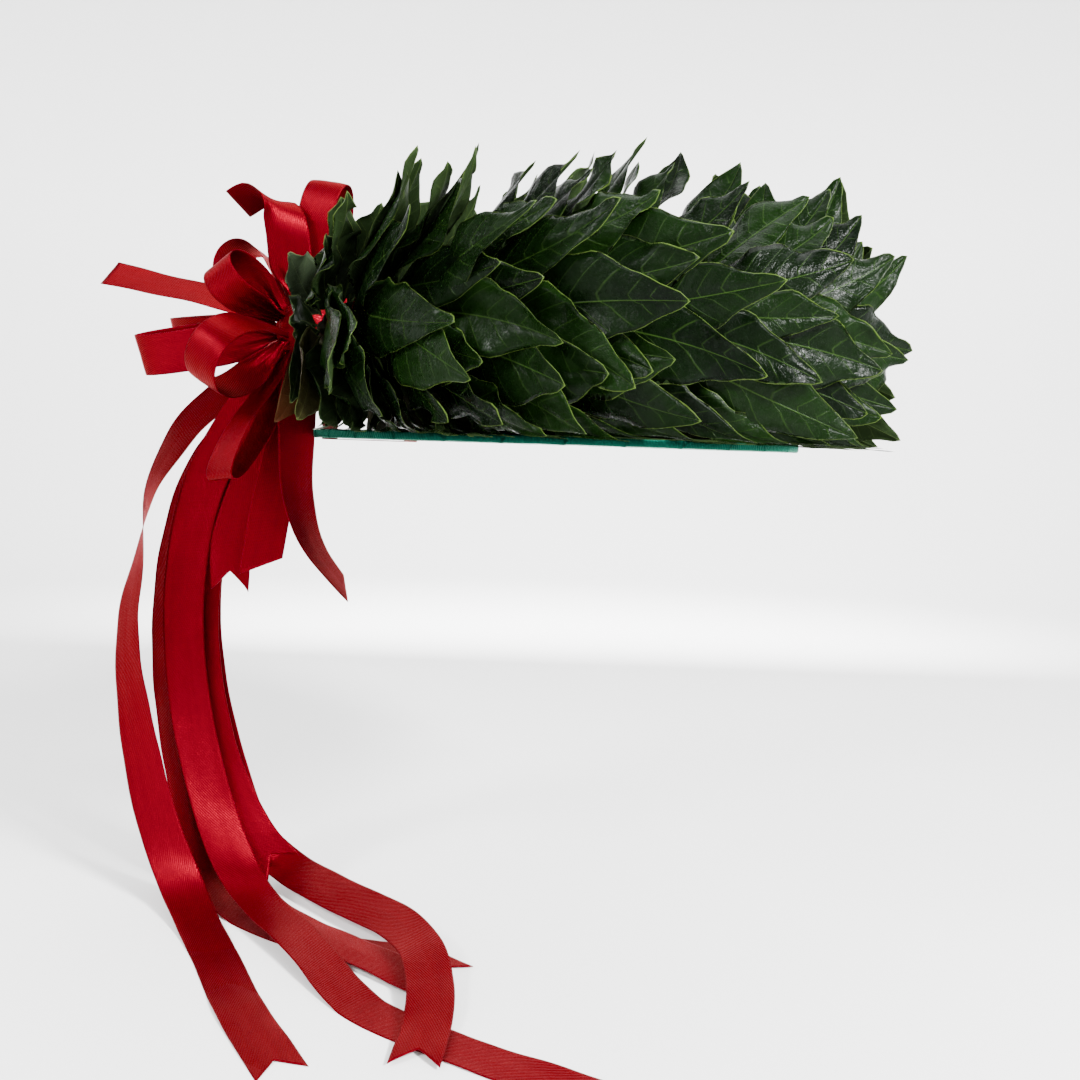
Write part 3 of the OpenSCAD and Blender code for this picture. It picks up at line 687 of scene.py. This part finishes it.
def leaf_mesh(i, angle, branch):
    """Points of one leaf and facts at them. Its two sides meet at the margin."""
    side = BRANCHES[branch][0]
    f = leaf_facts(i, angle)
    code = 2*i + (0 if branch == "right" else LEFT_CODE)
    grown = f["long"]/LEAF_LEN
    s = np.linspace(0, 1, LEAF_ROWS + 1)[1:-1][:, None]
    v = np.linspace(-1, 1, LEAF_COLUMNS + 1)[None, :]
    (waves_a, share_a), (waves_b, share_b) = UNEVEN
    uneven = (share_a*np.sin(waves_a*math.pi*s + code + 2*np.sign(v))
              + share_b*np.sin(waves_b*math.pi*s + 1.7*code - np.sign(v)))
    wide = leaf_width(s)*f["half_w"]*(1 + uneven*grown*smooth(s/FADE_SHARE)*np.abs(v))
    free = smooth((f["start"] - FREE_FROM)/FREE_OVER)
    bend = BEND*grown*spread(code, STEPS["bend"])*free
    swing = SWING*f["along"]*spread(code, STEPS["swing"])*free
    sickle = bend*np.clip((s - SICKLE_FROM)/(1 - SICKLE_FROM), 0, 1)**2
    e = v*wide + sickle + swing*s
    waves = WAVES + WAVES_VARY*spread(code, STEPS["waves"])
    deep = (DEEP + DEEP_VARIES*spread(code, STEPS["deep"]))*grown*np.abs(v)**MARGIN_POWER
    wave = deep*(np.sin(math.tau*(waves*s + frac(code*STEPS["start"])) + np.sign(v)*SIDE_SHIFT)
                 + SECOND_SHARE*grown*np.sin(math.tau*SECOND_WAVE*waves*s + code*np.sign(v)))
    wave = wave*smooth((s - WAVE_FROM)/WAVE_OVER)*smooth((WAVE_TO - s)/WAVE_END)
    curl = (CURL + CURL_VARIES*spread(code, STEPS["curl"]))*grown
    hook = curl*np.clip((s - CURL_FROM)/(1 - CURL_FROM), 0, 1)**2
    sag = SAG*grown*spread(code, STEPS["sag"])
    belly = sag*np.sin(math.tau*s + code)
    twist = TWIST*spread(code, STEPS["twist"])*smooth((s - TWIST_FROM)/(1 - TWIST_FROM))*v*wide
    crease = -CREASE*np.exp(-(v/CREASE_SHARE)**2)*smooth(s/FADE_SHARE)*grown
    cup = CUP*grown*(1 - np.abs(v))*np.abs(v)*2*smooth(s/FADE_SHARE)*smooth((1 - s)/FADE_SHARE)
    base = wave + hook + belly + crease + cup + twist
    thick = VISIBLE_T/2*np.sqrt(np.maximum(0, 1 - v**2))*np.ones_like(s)
    upper = leaf_point(f, side, s, e, base + thick)
    under = leaf_point(f, side, s, e, base - thick)[:, 1:-1]
    zero = np.zeros((1, 1))
    root = leaf_point(f, side, zero, zero, zero)[0]
    tip = leaf_point(f, side, zero + 1, zero + bend + swing, zero + curl + sag*math.sin(code))[0]
    across = v*wide
    along = s*f["long"] + 0*v
    phase = (along - VEIN_SLANT*np.abs(across) - VEIN_CURVE*across**2)/VEIN_STEP + VEIN_SHIFT*np.sign(v)
    phase = phase + VEIN_VARIES*spread(code, STEPS["vein"])
    phase = phase + VEIN_WANDER*np.sin(WANDER_STEP*phase + code)
    rim = (1 - np.abs(v))*wide/np.sqrt(1 + np.gradient(wide[:, 0], along[:, 0])[:, None]**2)
    rim = np.minimum(rim, (1 - s)*f["long"]*TIP_RIM)

    def joined(grid, at_root, at_tip):
        return np.concatenate([grid.ravel(), grid[:, 1:-1].ravel(), [at_root, at_tip]])

    facts = {"across": joined(across, 0, 0), "phase": joined(phase, 0, f["long"]/VEIN_STEP),
             "rim": joined(rim + 0*v, ROOT_RIM, 0), "along": joined(s + 0*v, 0, 1)}
    for key, value in {"tint": frac(code*STEPS["tint"]), "dry": DRY.get((branch, i), 0.0),
                       "pale": PALE.get((branch, i), 0.0)}.items():
        facts[key] = np.full(len(facts["rim"]), value)
    return np.concatenate([upper.reshape(-1, 3), under.reshape(-1, 3), root, tip]), facts


def leaf_faces():
    """The faces of any leaf, upper ones first, and how many of them are upper ones."""
    rows, columns = LEAF_ROWS - 1, LEAF_COLUMNS + 1
    inner = columns - 2

    def top(j, k):
        return j*columns + k

    def low(j, k):
        return top(j, k) if k in (0, columns - 1) else rows*columns + j*inner + k - 1

    root = rows*columns + rows*inner
    tip = root + 1
    upper, under = [], []
    for place, faces, turn in ((top, upper, 1), (low, under, -1)):
        for k in range(columns - 1):
            faces.append([root, place(0, k), place(0, k + 1)][::turn])
            faces += [[place(j, k), place(j + 1, k), place(j + 1, k + 1), place(j, k + 1)][::turn]
                      for j in range(rows - 1)]
            faces.append([place(rows - 1, k), tip, place(rows - 1, k + 1)][::turn])
    return upper, under


UPPER_FACES, UNDER_FACES = leaf_faces()


def leaf_piece(branch, row):
    """All the leaves of one row of a branch."""
    side, first = BRANCHES[branch]
    turn = 1 if side < 0 else -1
    low, high = ROWS[row]
    points, faces, kinds, facts = [], [], [], {}
    count = 0
    between = [k + 0.5 for k in range(*FILLERS[branch])]
    order = [(i, leaf_angle(i, first)) for i in [*range(LEAF_COUNT), *between]]
    from_angle, to_angle = LINER_ANGLES
    order += [(LINER_FIRST + LINER_STEP*k, from_angle + (to_angle - from_angle)*frac(k*GOLDEN + first))
              for k in range(LINERS)]
    for i, angle in order:
        if not low <= angle < high:
            continue
        leaf, values = leaf_mesh(i, angle, branch)
        for group, kind in ((UPPER_FACES, 0), (UNDER_FACES, 1)):
            faces += [[count + p for p in f][::turn] for f in group]
            kinds += [kind]*len(group)
        points.append(leaf)
        for key, value in values.items():
            facts.setdefault(key, []).append(value)
        count += len(leaf)
    facts = {key: np.concatenate(value) for key, value in facts.items()}
    make_piece(f"laurel_{branch}_{row}", np.concatenate(points), faces, [leaf_top, leaf_under],
               facts=facts, kinds=kinds, node=f"leaves_{branch}_{row}")


for branch in BRANCHES:
    for row in ROWS:
        leaf_piece(branch, row)

# Ribbons


def spline(rows, t):
    """A smooth curve through the rows, at the values t."""
    last = len(rows) - 1
    i = np.clip(np.floor(t).astype(int), 0, last - 1)
    f = (t - i)[..., None]
    a, b, c, d = (rows[np.clip(i + k, 0, last)] for k in (-1, 0, 1, 2))
    return 0.5*(2*b + (c - a)*f + (2*a - 5*b + 4*c - d)*f**2 + (3*b - a - 3*c + d)*f**3)


def gathered(far):
    """Width of a ribbon at a distance from the knot, which gathers it."""
    return RIBBON_W*(GATHER + (1 - GATHER)*smooth(far/OPEN_LEN))


def loop_rows(heading, climb_angle, lean, reach, swell):
    """Rows of a bow loop, out from the knot and back: place, line across and width."""
    heading, rise, lean = (math.radians(x) for x in (heading, climb_angle, lean))
    reach, swell = reach*BOW_SIZE, swell*BOW_SIZE
    ahead = np.array([-math.sin(heading)*math.cos(rise), math.cos(heading)*math.cos(rise), math.sin(rise)])
    level = np.array([-math.cos(heading), -math.sin(heading), 0])
    line = level*math.cos(lean) + np.cross(ahead, level)*math.sin(lean)
    opening = np.cross(line, ahead)
    rows = []
    for k in range(LOOP_STEPS + 1):
        t = math.tau*k/LOOP_STEPS
        far = reach*(1 - math.cos(t))/2
        off = (swell/2*math.sin(t)*math.sin(t/2)*FULLNESS
               + MOUTH*(1 - k/LOOP_STEPS*2)*(1 - smooth(far/MOUTH_LEN)))
        rows.append([*(KNOT + ahead*(ROOT + far) + opening*off), *line, gathered(far)])
    return np.array(rows)


def hung_rows(table, length):
    """Rows of a tail or streamer from its table, whose places are shares of the length."""
    rows = []
    for k in range(-1, len(table)):
        row = table[max(0, k)]
        place = np.array(row[:3])
        away = place/np.linalg.norm(place)
        off = length*place if k > 0 else (ROOT if k < 0 else ROOT + STRAIGHT_OUT)*away
        heading, rise = math.radians(row[3]), math.radians(row[4])
        line = [math.sin(heading)*math.cos(rise), -math.cos(heading)*math.cos(rise), math.sin(rise)]
        rows.append([*(KNOT + off), *line, gathered(np.linalg.norm(off) - ROOT)])
    return np.array(rows)


CLOTH_T = 0.35
PLEATS, PLEAT_SHARE = 3, 0.8
ACROSS = 24
STEP_MM = 2.6
FINE = 400
BOW_OUT, BOW_STEP = 0.5, 0.37
# Ripples of a ribbon: height, and length of the wave divided by a full turn
LONG_RIPPLE, EDGE_RIPPLE, SMALL_RIPPLE = (0.6, 26), (0.35, 17), (0.25, 6.3)
# How far the ripples of the two edges are out of step, and how the small ones are from ribbon to ribbon
EDGE_SHIFT, SMALL_SHIFT, SHIFT_STEP = 1.7, 3.0, 0.71
FLOOR_GAP = 0.1
# Rows bend to the cut end's line over this many times its depth
CUT_OVER = 2.2


def tube_faces(rows, sides, closed):
    """Faces of rows of points round a strip: a skin, and two end caps where it isn't closed."""
    faces = []
    for j in range(rows if closed else rows - 1):
        nxt = (j + 1) % rows
        faces += [[j*sides + k, j*sides + (k + 1) % sides, nxt*sides + (k + 1) % sides, nxt*sides + k]
                  for k in range(sides)]
    if not closed:
        half = sides//2
        for j, turn in ((0, -1), (rows - 1, 1)):
            faces += [[j*sides + k, j*sides + k + 1, j*sides + sides - 2 - k, j*sides + sides - 1 - k][::turn]
                      for k in range(half - 1)]
    return faces


def strip(node, rows, cut, code):
    """A satin ribbon through its rows, pleated where it is gathered, its end cut as told."""
    last = len(rows) - 1
    fine = np.linspace(0, last, FINE)
    line = spline(rows, fine)[:, :3]
    far = np.concatenate([[0], np.cumsum(np.linalg.norm(np.diff(line, axis=0), axis=1))])
    length = far[-1]
    count = max(12, int(length/STEP_MM))
    v = np.linspace(-1, 1, ACROSS + 1)
    reach = np.linspace(0, 1, count + 1)[:, None]
    end = length - np.interp(v, [-1, 0, 1], cut)[None, :]
    cut_from = 1 - CUT_OVER*max(max(cut), 1)/length
    late = np.clip((reach - cut_from)/(1 - cut_from), 0, 1)
    at = np.where(reach < cut_from, reach*length, cut_from*length + late*(end - cut_from*length))
    t = np.interp(at, far, fine)
    row = spline(rows, t)
    step = 0.02
    ahead = spline(rows, np.minimum(last, t + step)) - spline(rows, np.maximum(0, t - step))
    heading = unit(ahead[..., :3])
    across = row[..., 3:6] - dot(row[..., 3:6], heading)*heading
    across = unit(across)
    face = np.cross(heading, across)
    width = np.minimum(row[..., 6], RIBBON_W)
    fold = np.sqrt(np.maximum(0, RIBBON_W**2 - width**2))/(4*PLEATS)*PLEAT_SHARE
    shape = (fold*np.sin(math.pi*PLEATS*v + code)
             + BOW_OUT*spread(code, BOW_STEP)*(1 - v**2)
             + LONG_RIPPLE[0]*np.sin(at/LONG_RIPPLE[1] + 2*code)
             + EDGE_RIPPLE[0]*np.sin(at/EDGE_RIPPLE[1] + code + EDGE_SHIFT*v)*np.abs(v)
             + SMALL_RIPPLE[0]*np.sin(at/SMALL_RIPPLE[1] + SMALL_SHIFT*spread(code, SHIFT_STEP))*v**2)
    middle = row[..., :3] + across*(v[None, :]*width/2)[..., None]
    top = middle + face*(shape + CLOTH_T/2)[..., None]
    low = middle + face*(shape - CLOTH_T/2)[..., None]
    low[..., 2] = np.maximum(low[..., 2], FLOOR_Z + FLOOR_GAP)
    top[..., 2] = np.maximum(top[..., 2], FLOOR_Z + FLOOR_GAP + CLOTH_T*np.abs(face[..., 2]))
    ring = np.concatenate([top, low[:, ::-1]], axis=1)
    sides = ring.shape[1]
    uv_v = at + 0*v[None, :]
    uv_u = np.broadcast_to(v[None, :]*RIBBON_W/2, uv_v.shape)
    uv = np.stack([np.concatenate([uv_u, uv_u[:, ::-1]], axis=1),
                   np.concatenate([uv_v, uv_v[:, ::-1]], axis=1)], -1)
    edge = (1 - np.abs(uv[..., 0])/(RIBBON_W/2))*RIBBON_W/2
    piece = make_piece("satin_" + node, ring.reshape(-1, 3), tube_faces(count + 1, sides, False), [red_satin],
                       uv=uv.reshape(-1, 2), facts={"edge": edge}, node=node)


# Codes set each ribbon's own ripples: loops count from 0
FIRST_TAIL, FIRST_STREAMER = 20, 30
for code, (name, *facts) in enumerate(LOOP_TABLE):
    strip(name, loop_rows(*facts), SQUARE_CUT, code)

SHORT_TAILS = {"tail_curl": (CURL_TABLE, SQUARE_CUT), "tail_straight": (STRAIGHT_TABLE, SQUARE_CUT),
               "tail_swallow": (SWALLOW_TABLE, SWALLOW_CUT), "tail_slant": (SLANT_TABLE, SLANT_CUT),
               "tail_point": (POINT_TABLE, POINT_CUT)}
STREAMERS = {"streamer_left": LEFT_TABLE, "streamer_under": UNDER_TABLE, "streamer_low": LOW_TABLE,
             "streamer_long": LONG_TABLE, "streamer_over": OVER_TABLE, "streamer_fold": FOLD_TABLE}
for code, (name, (table, cut)) in enumerate(SHORT_TAILS.items()):
    strip(name, hung_rows(table, BOW_SIZE), cut, FIRST_TAIL + code)
for code, (name, table) in enumerate(STREAMERS.items()):
    strip(name, hung_rows(table, DROP), SWALLOW_CUT, FIRST_STREAMER + code)

# Knot, band, ring and roll

# The knot's rows and sides, where its last rows and its ends' middles are as shares of the radius, and its
# pleats and creases: depth as a share of the radius, waves across the knot, how far they swing and how often
KNOT_ROWS, KNOT_SIDES, ENDS_AT, CAP_AT = 40, 120, 0.9, 0.88
KNOT_PLEATS, KNOT_CREASES = (0.035, 7*math.pi, 0.6, 2), (0.02, 15, 3)
# Distance from the ribbon's edge, where a piece has no edge in sight
FAR_FROM_EDGE = 5.0


def turned(place, t):
    """Points [outwards, height] turned about Z by the angles t."""
    return stacked(place[..., 0]*np.sin(t), place[..., 0]*np.cos(t), place[..., 1])


def full_turn(count):
    """Angles of a full turn about Z, one for each row of points."""
    return np.linspace(0, math.tau, count, endpoint=False)[:, None]


def run_of(path):
    """How far along the path each of its points is."""
    return np.concatenate([[0], np.cumsum(np.linalg.norm(np.diff(path, axis=0), axis=1))])


def knot_piece():
    """The knot: ribbon wrapped round the middle of the bow, pinched into lengthwise pleats."""
    rows, count = KNOT_ROWS, KNOT_SIDES
    t = full_turn(count).T
    x = np.linspace(-ENDS_AT, ENDS_AT, rows)[:, None]
    (deep, wave, swing, often), (less, short, sway) = KNOT_PLEATS, KNOT_CREASES
    pleat = deep*np.sin(wave*x + swing*np.sin(t*often)) + less*np.sin(short*x + sway*np.cos(t))
    r = KNOT_R*np.sqrt(1 - x**2)*(1 + pleat)
    points = KNOT + stacked(KNOT_R*x + 0*t, r*np.cos(t), r*np.sin(t))
    faces = [[j*count + k, (j + 1)*count + k, (j + 1)*count + (k + 1) % count, j*count + (k + 1) % count]
             for j in range(rows - 1) for k in range(count)]
    ends = np.stack([KNOT - [KNOT_R*CAP_AT, 0, 0], KNOT + [KNOT_R*CAP_AT, 0, 0]])
    centre = rows*count
    faces += [[centre, k, (k + 1) % count] for k in range(count)]
    faces += [[centre + 1, (rows - 1)*count + (k + 1) % count, (rows - 1)*count + k] for k in range(count)]
    uv = np.stack(np.broadcast_arrays(x*RIBBON_W/2, t*KNOT_R), -1).reshape(-1, 2)
    uv = np.concatenate([uv, [[0, 0], [0, 0]]])
    edge = np.full(len(uv), FAR_FROM_EDGE)
    make_piece("satin_bow_knot", np.concatenate([points.reshape(-1, 3), ends]), faces, [red_satin],
               uv=uv, facts={"edge": edge}, node="bow_knot")


BAND_FROM = -5
BAND_LOW, BAND_TOP, BAND_RIPPLE = 0.1, 0.5, 0.05
CORNER_STEPS = 10


def band_piece():
    """The closed turn of ribbon that ties the bow to the ring."""
    angles = np.radians(np.linspace(BAND_FROM, INNER_ANGLE, 41))
    path = [[ROLL_AT + ROLL_R*math.cos(t), ROLL_Z + ROLL_R*math.sin(t), math.cos(t), math.sin(t)] for t in angles]
    corners = [[HEAD_R, ROLL_Z*WALL_SHARE, -1, 0.4], [HEAD_R, 0, -1, -1], [RING_R, 0, 1, -1],
               [RING_R, RIM_H, 1, 0.1], path[0]]
    for a, b in zip([path[-1]] + corners[:-1], corners):
        path += [list(np.array(a) + (np.array(b) - a)*k/CORNER_STEPS) for k in range(1, CORNER_STEPS + 1)]
    path = np.array(path[:-1])
    v = np.linspace(-1, 1, 13)
    far = run_of(path[:, :2])

    def layer(off):
        place = path[:, None, :2] + path[:, None, 2:]*(off + BAND_RIPPLE*np.sin(v*9 + 1)[None, :, None])
        return turned(place, v[None, :]*RIBBON_W/2/place[..., 0])

    low, top = layer(RIBBON_GAP + BAND_LOW), layer(RIBBON_GAP + BAND_TOP)
    ring = np.concatenate([top, low[:, ::-1]], axis=1)
    u = np.broadcast_to(v[None, :]*RIBBON_W/2, top.shape[:2])
    w = np.broadcast_to(far[:, None], top.shape[:2])
    uv = np.stack([np.concatenate([u, u[:, ::-1]], 1), np.concatenate([w, w[:, ::-1]], 1)], -1)
    edge = RIBBON_W/2 - np.abs(uv[..., 0])
    piece = make_piece("satin_tie_band", ring.reshape(-1, 3), tube_faces(len(path), ring.shape[1], True),
                       [red_satin], uv=uv.reshape(-1, 2), facts={"edge": edge}, node="tie_band")


# Ring: radius of its rounded corners, turns of ribbon, steps round it, how far each turn slopes down under
# the next and hollows, and the share of a turn over which that comes and goes
SOFT, TURNS, RING_STEPS = 1.6, 30, 900
TURN_SLOPE, TURN_HOLLOW, HOLLOW_IN, HOLLOW_OUT = 0.45, 0.25, 0.08, 0.3
# The flat faces' points are within this of its top and underside, and the arcs and faces have these steps
FLAT_NEAR, ARC_POINTS, FACE_STEPS = 0.3, 5, 12


def wound_ring():
    """The flat ring, wound with overlapping slanted turns of green satin."""
    base = [[HEAD_R, 0], [RING_R, 0], [RING_R, RIM_H], [HEAD_R, RIM_H]]
    section = []
    for k, (corner, way) in enumerate(zip(base, ([-1, -1], [1, -1], [1, 1], [-1, 1]))):
        middle = np.array(corner) - SOFT*np.array(way)
        first = math.atan2(way[1], way[0]) - math.pi/4
        section += [middle + SOFT*np.array([math.cos(a), math.sin(a)])
                    for a in np.linspace(first, first + math.pi/2, ARC_POINTS)]
        after = np.array(base[(k + 1) % 4])
        if k in (0, 2):
            start, end = section[-1], after + [-SOFT if k == 0 else SOFT, 0]
            section += [start + (end - start)*m/FACE_STEPS for m in range(1, FACE_STEPS)]
    section = np.array(section)
    t = full_turn(RING_STEPS)
    far = run_of(section)[None, :]
    turn = frac(t/math.tau*TURNS + far/far.max())
    rise = -TURN_SLOPE*turn - TURN_HOLLOW*smooth(turn/HOLLOW_IN)*smooth((1 - turn)/HOLLOW_OUT)
    above = section[:, 1:] - RIM_H/2
    flat = np.abs(above) > RIM_H/2 - FLAT_NEAR
    out = np.where(flat, np.sign(above)*[0, 1.0], unit(section - section.mean(0)))
    points = turned(section[None] + out[None]*rise[..., None], t)
    uv = np.stack([turn*RIBBON_W - RIBBON_W/2, far + 0*t], -1)
    edge = np.minimum(turn, 1 - turn)*RIBBON_W + 0.3
    make_piece("satin_wound_ring", points.reshape(-1, 3), tube_faces(RING_STEPS, len(section), True),
               [green_satin], uv=uv.reshape(-1, 2), facts={"edge": edge}, node="base_ring")


STEMS, STEM_SIDES, STEM_ROWS = 20, 150, 320
STEM_DEPTH, STEM_LOW = 1.7, 1.8
# How often stems cross the section on their way round, how far they swing aside and how often, how round
# they are, and their knobs: height, how many round the roll, and how far apart across it
STEM_SLANT, STEM_SWING, STEM_SWINGS, STEM_ROUND = 9, 1.3, 3, 0.8
KNOB, KNOBS, KNOBS_APART = 0.25, 31, 3
STEM_INSET, STEM_SUNK = 0.5, 0.4
WAIST_TOP = 1.3


def bound_stems():
    """The roll and the waist below it, as stems that run round and cross each other at a slant."""
    outer = [[ROLL_AT + ROLL_R*math.cos(a), ROLL_Z + ROLL_R*math.sin(a)]
             for a in np.radians(np.linspace(INNER_ANGLE, WAIST_ANGLE, 44))]
    inside, low = HEAD_R + STEM_INSET, RIM_H - STEM_SUNK
    corners = [[HEAD_R + WAIST_W, ROLL_Z - ROLL_R*WAIST_TOP], [HEAD_R + WAIST_W, low], [inside, low],
               [inside, ROLL_Z*WALL_SHARE], outer[0]]
    path = np.array(outer + corners)
    even = np.linspace(0, run_of(path)[-1], STEM_SIDES + 1)[:-1]
    section = np.stack([np.interp(even, run_of(path), path[:, k]) for k in (0, 1)], -1)
    out = np.roll(section, -1, 0) - np.roll(section, 1, 0)
    out = unit(np.stack([-out[:, 1], out[:, 0]], -1))
    t = full_turn(STEM_ROWS)
    far = run_of(section)[None, :]
    across = far/far.max()*math.pi*STEMS + STEM_SLANT*t + STEM_SWING*np.sin(STEM_SWINGS*t)
    ridges = np.abs(np.sin(across))**STEM_ROUND
    rise = STEM_DEPTH*ridges - STEM_LOW + KNOB*np.sin(KNOBS*t + far/KNOBS_APART)
    points = turned(section[None] + out[None]*rise[..., None], t)
    faces = [f[::-1] for f in tube_faces(STEM_ROWS, STEM_SIDES, True)]
    # The groove value, highest between the ridges, sets where painted shade darkens the stems' colour
    make_piece("bound_stems", points.reshape(-1, 3), faces, [bark], facts={"groove_shade": 1 - ridges},
               node="stem_roll")


knot_piece()
band_piece()
wound_ring()
bound_stems()

# Floor, backdrop, light and camera


def studio():
    """A pale floor that curves up into a backdrop all round."""
    flat_r, bend_r, top, count = 1700.0, 900.0, 2400.0, 96
    section = [[0.01, FLOOR_Z], [flat_r/2, FLOOR_Z], [flat_r, FLOOR_Z]]
    section += [[flat_r + bend_r*math.sin(a), FLOOR_Z + bend_r*(1 - math.cos(a))]
                for a in np.radians(np.linspace(6, 90, 15))]
    section.append([flat_r + bend_r, top])
    points = turned(np.array(section)[None], full_turn(count))
    sides = len(section)
    faces = [[j*sides + k, ((j + 1) % count)*sides + k, ((j + 1) % count)*sides + k + 1, j*sides + k + 1]
             for j in range(count) for k in range(sides - 1)]
    mesh = bpy.data.meshes.new("studio")
    mesh.from_pydata((points.reshape(-1, 3)*MM).tolist(), [], faces)
    mesh.polygons.foreach_set("use_smooth", np.ones(len(mesh.polygons), bool))
    mesh.materials.append(plain_surface("studio_white", STUDIO_WHITE, 1.5, 0.03))
    floor = bpy.data.objects.new("studio_floor", mesh)
    bpy.context.scene.collection.objects.link(floor)


def softbox(name, place, aim, size, power):
    """A rectangular light that faces its aim."""
    light = bpy.data.lights.new(name, "AREA")
    light.shape = "RECTANGLE"
    light.size, light.size_y = size
    light.energy = power
    made = bpy.data.objects.new(name, light)
    made.location = place
    made.rotation_mode = "QUATERNION"
    made.rotation_quaternion = (Vector(place) - Vector(aim)).to_track_quat("Z", "Y")
    bpy.context.scene.collection.objects.link(made)


def world_light(strength):
    world = bpy.data.worlds.new("studio_light")
    world.use_nodes = True
    background = world.node_tree.nodes["Background"]
    background.inputs[0].default_value = (1, 1, 1, 1)
    background.inputs[1].default_value = strength
    bpy.context.scene.world = world


EYE_HEADING, EYE_FAR, PITCH, ROLL_TILT = -80.0, 650.0, 4.94, 1.87
PHOTO_PX, FOCAL_PX, MIDDLE_PX = 1080, 1100.0, 552.0
SENSOR = 36.0


def camera():
    """The photograph's eye: low, a little behind the crown's right side, tipped slightly down."""
    heading = math.radians(EYE_HEADING)
    place = Vector((EYE_FAR*math.sin(heading), -EYE_FAR*math.cos(heading), 0))
    yaw = math.atan((MIDDLE_PX - PHOTO_PX/2)/FOCAL_PX)
    level = (Matrix.Rotation(yaw, 3, "Z") @ -place).normalized()
    pitch, roll = math.radians(PITCH), math.radians(ROLL_TILT)
    ahead = math.cos(pitch)*level - math.sin(pitch)*Vector((0, 0, 1))
    right = ahead.cross(Vector((0, 0, 1))).normalized()
    up = right.cross(ahead)
    right, up = math.cos(roll)*right + math.sin(roll)*up, -math.sin(roll)*right + math.cos(roll)*up
    data = bpy.data.cameras.new("camera")
    data.sensor_width = SENSOR
    data.lens = SENSOR*FOCAL_PX/PHOTO_PX
    data.clip_start, data.clip_end = 0.02, 20
    made = bpy.data.objects.new("camera", data)
    made.matrix_world = Matrix.Translation(place*MM) @ Matrix((right, up, -ahead)).transposed().to_4x4()
    bpy.context.scene.collection.objects.link(made)
    bpy.context.scene.camera = made


WORLD_LIGHT = 0.5

studio()
softbox("key", (-0.9, -1.3, 0.95), (0, -0.05, 0.05), (0.34, 0.34), 160)
softbox("fill", (-1.0, 0.9, 0.9), (0, 0.1, 0.0), (0.3, 0.3), 30)
softbox("top", (0.2, 0.0, 1.5), (0, 0, 0), (1.4, 1.4), 40)
softbox("glow", (0.9, 0.1, 0.25), (2.6, 0.4, -0.1), (1.2, 0.6), 60)
world_light(WORLD_LIGHT)
camera()
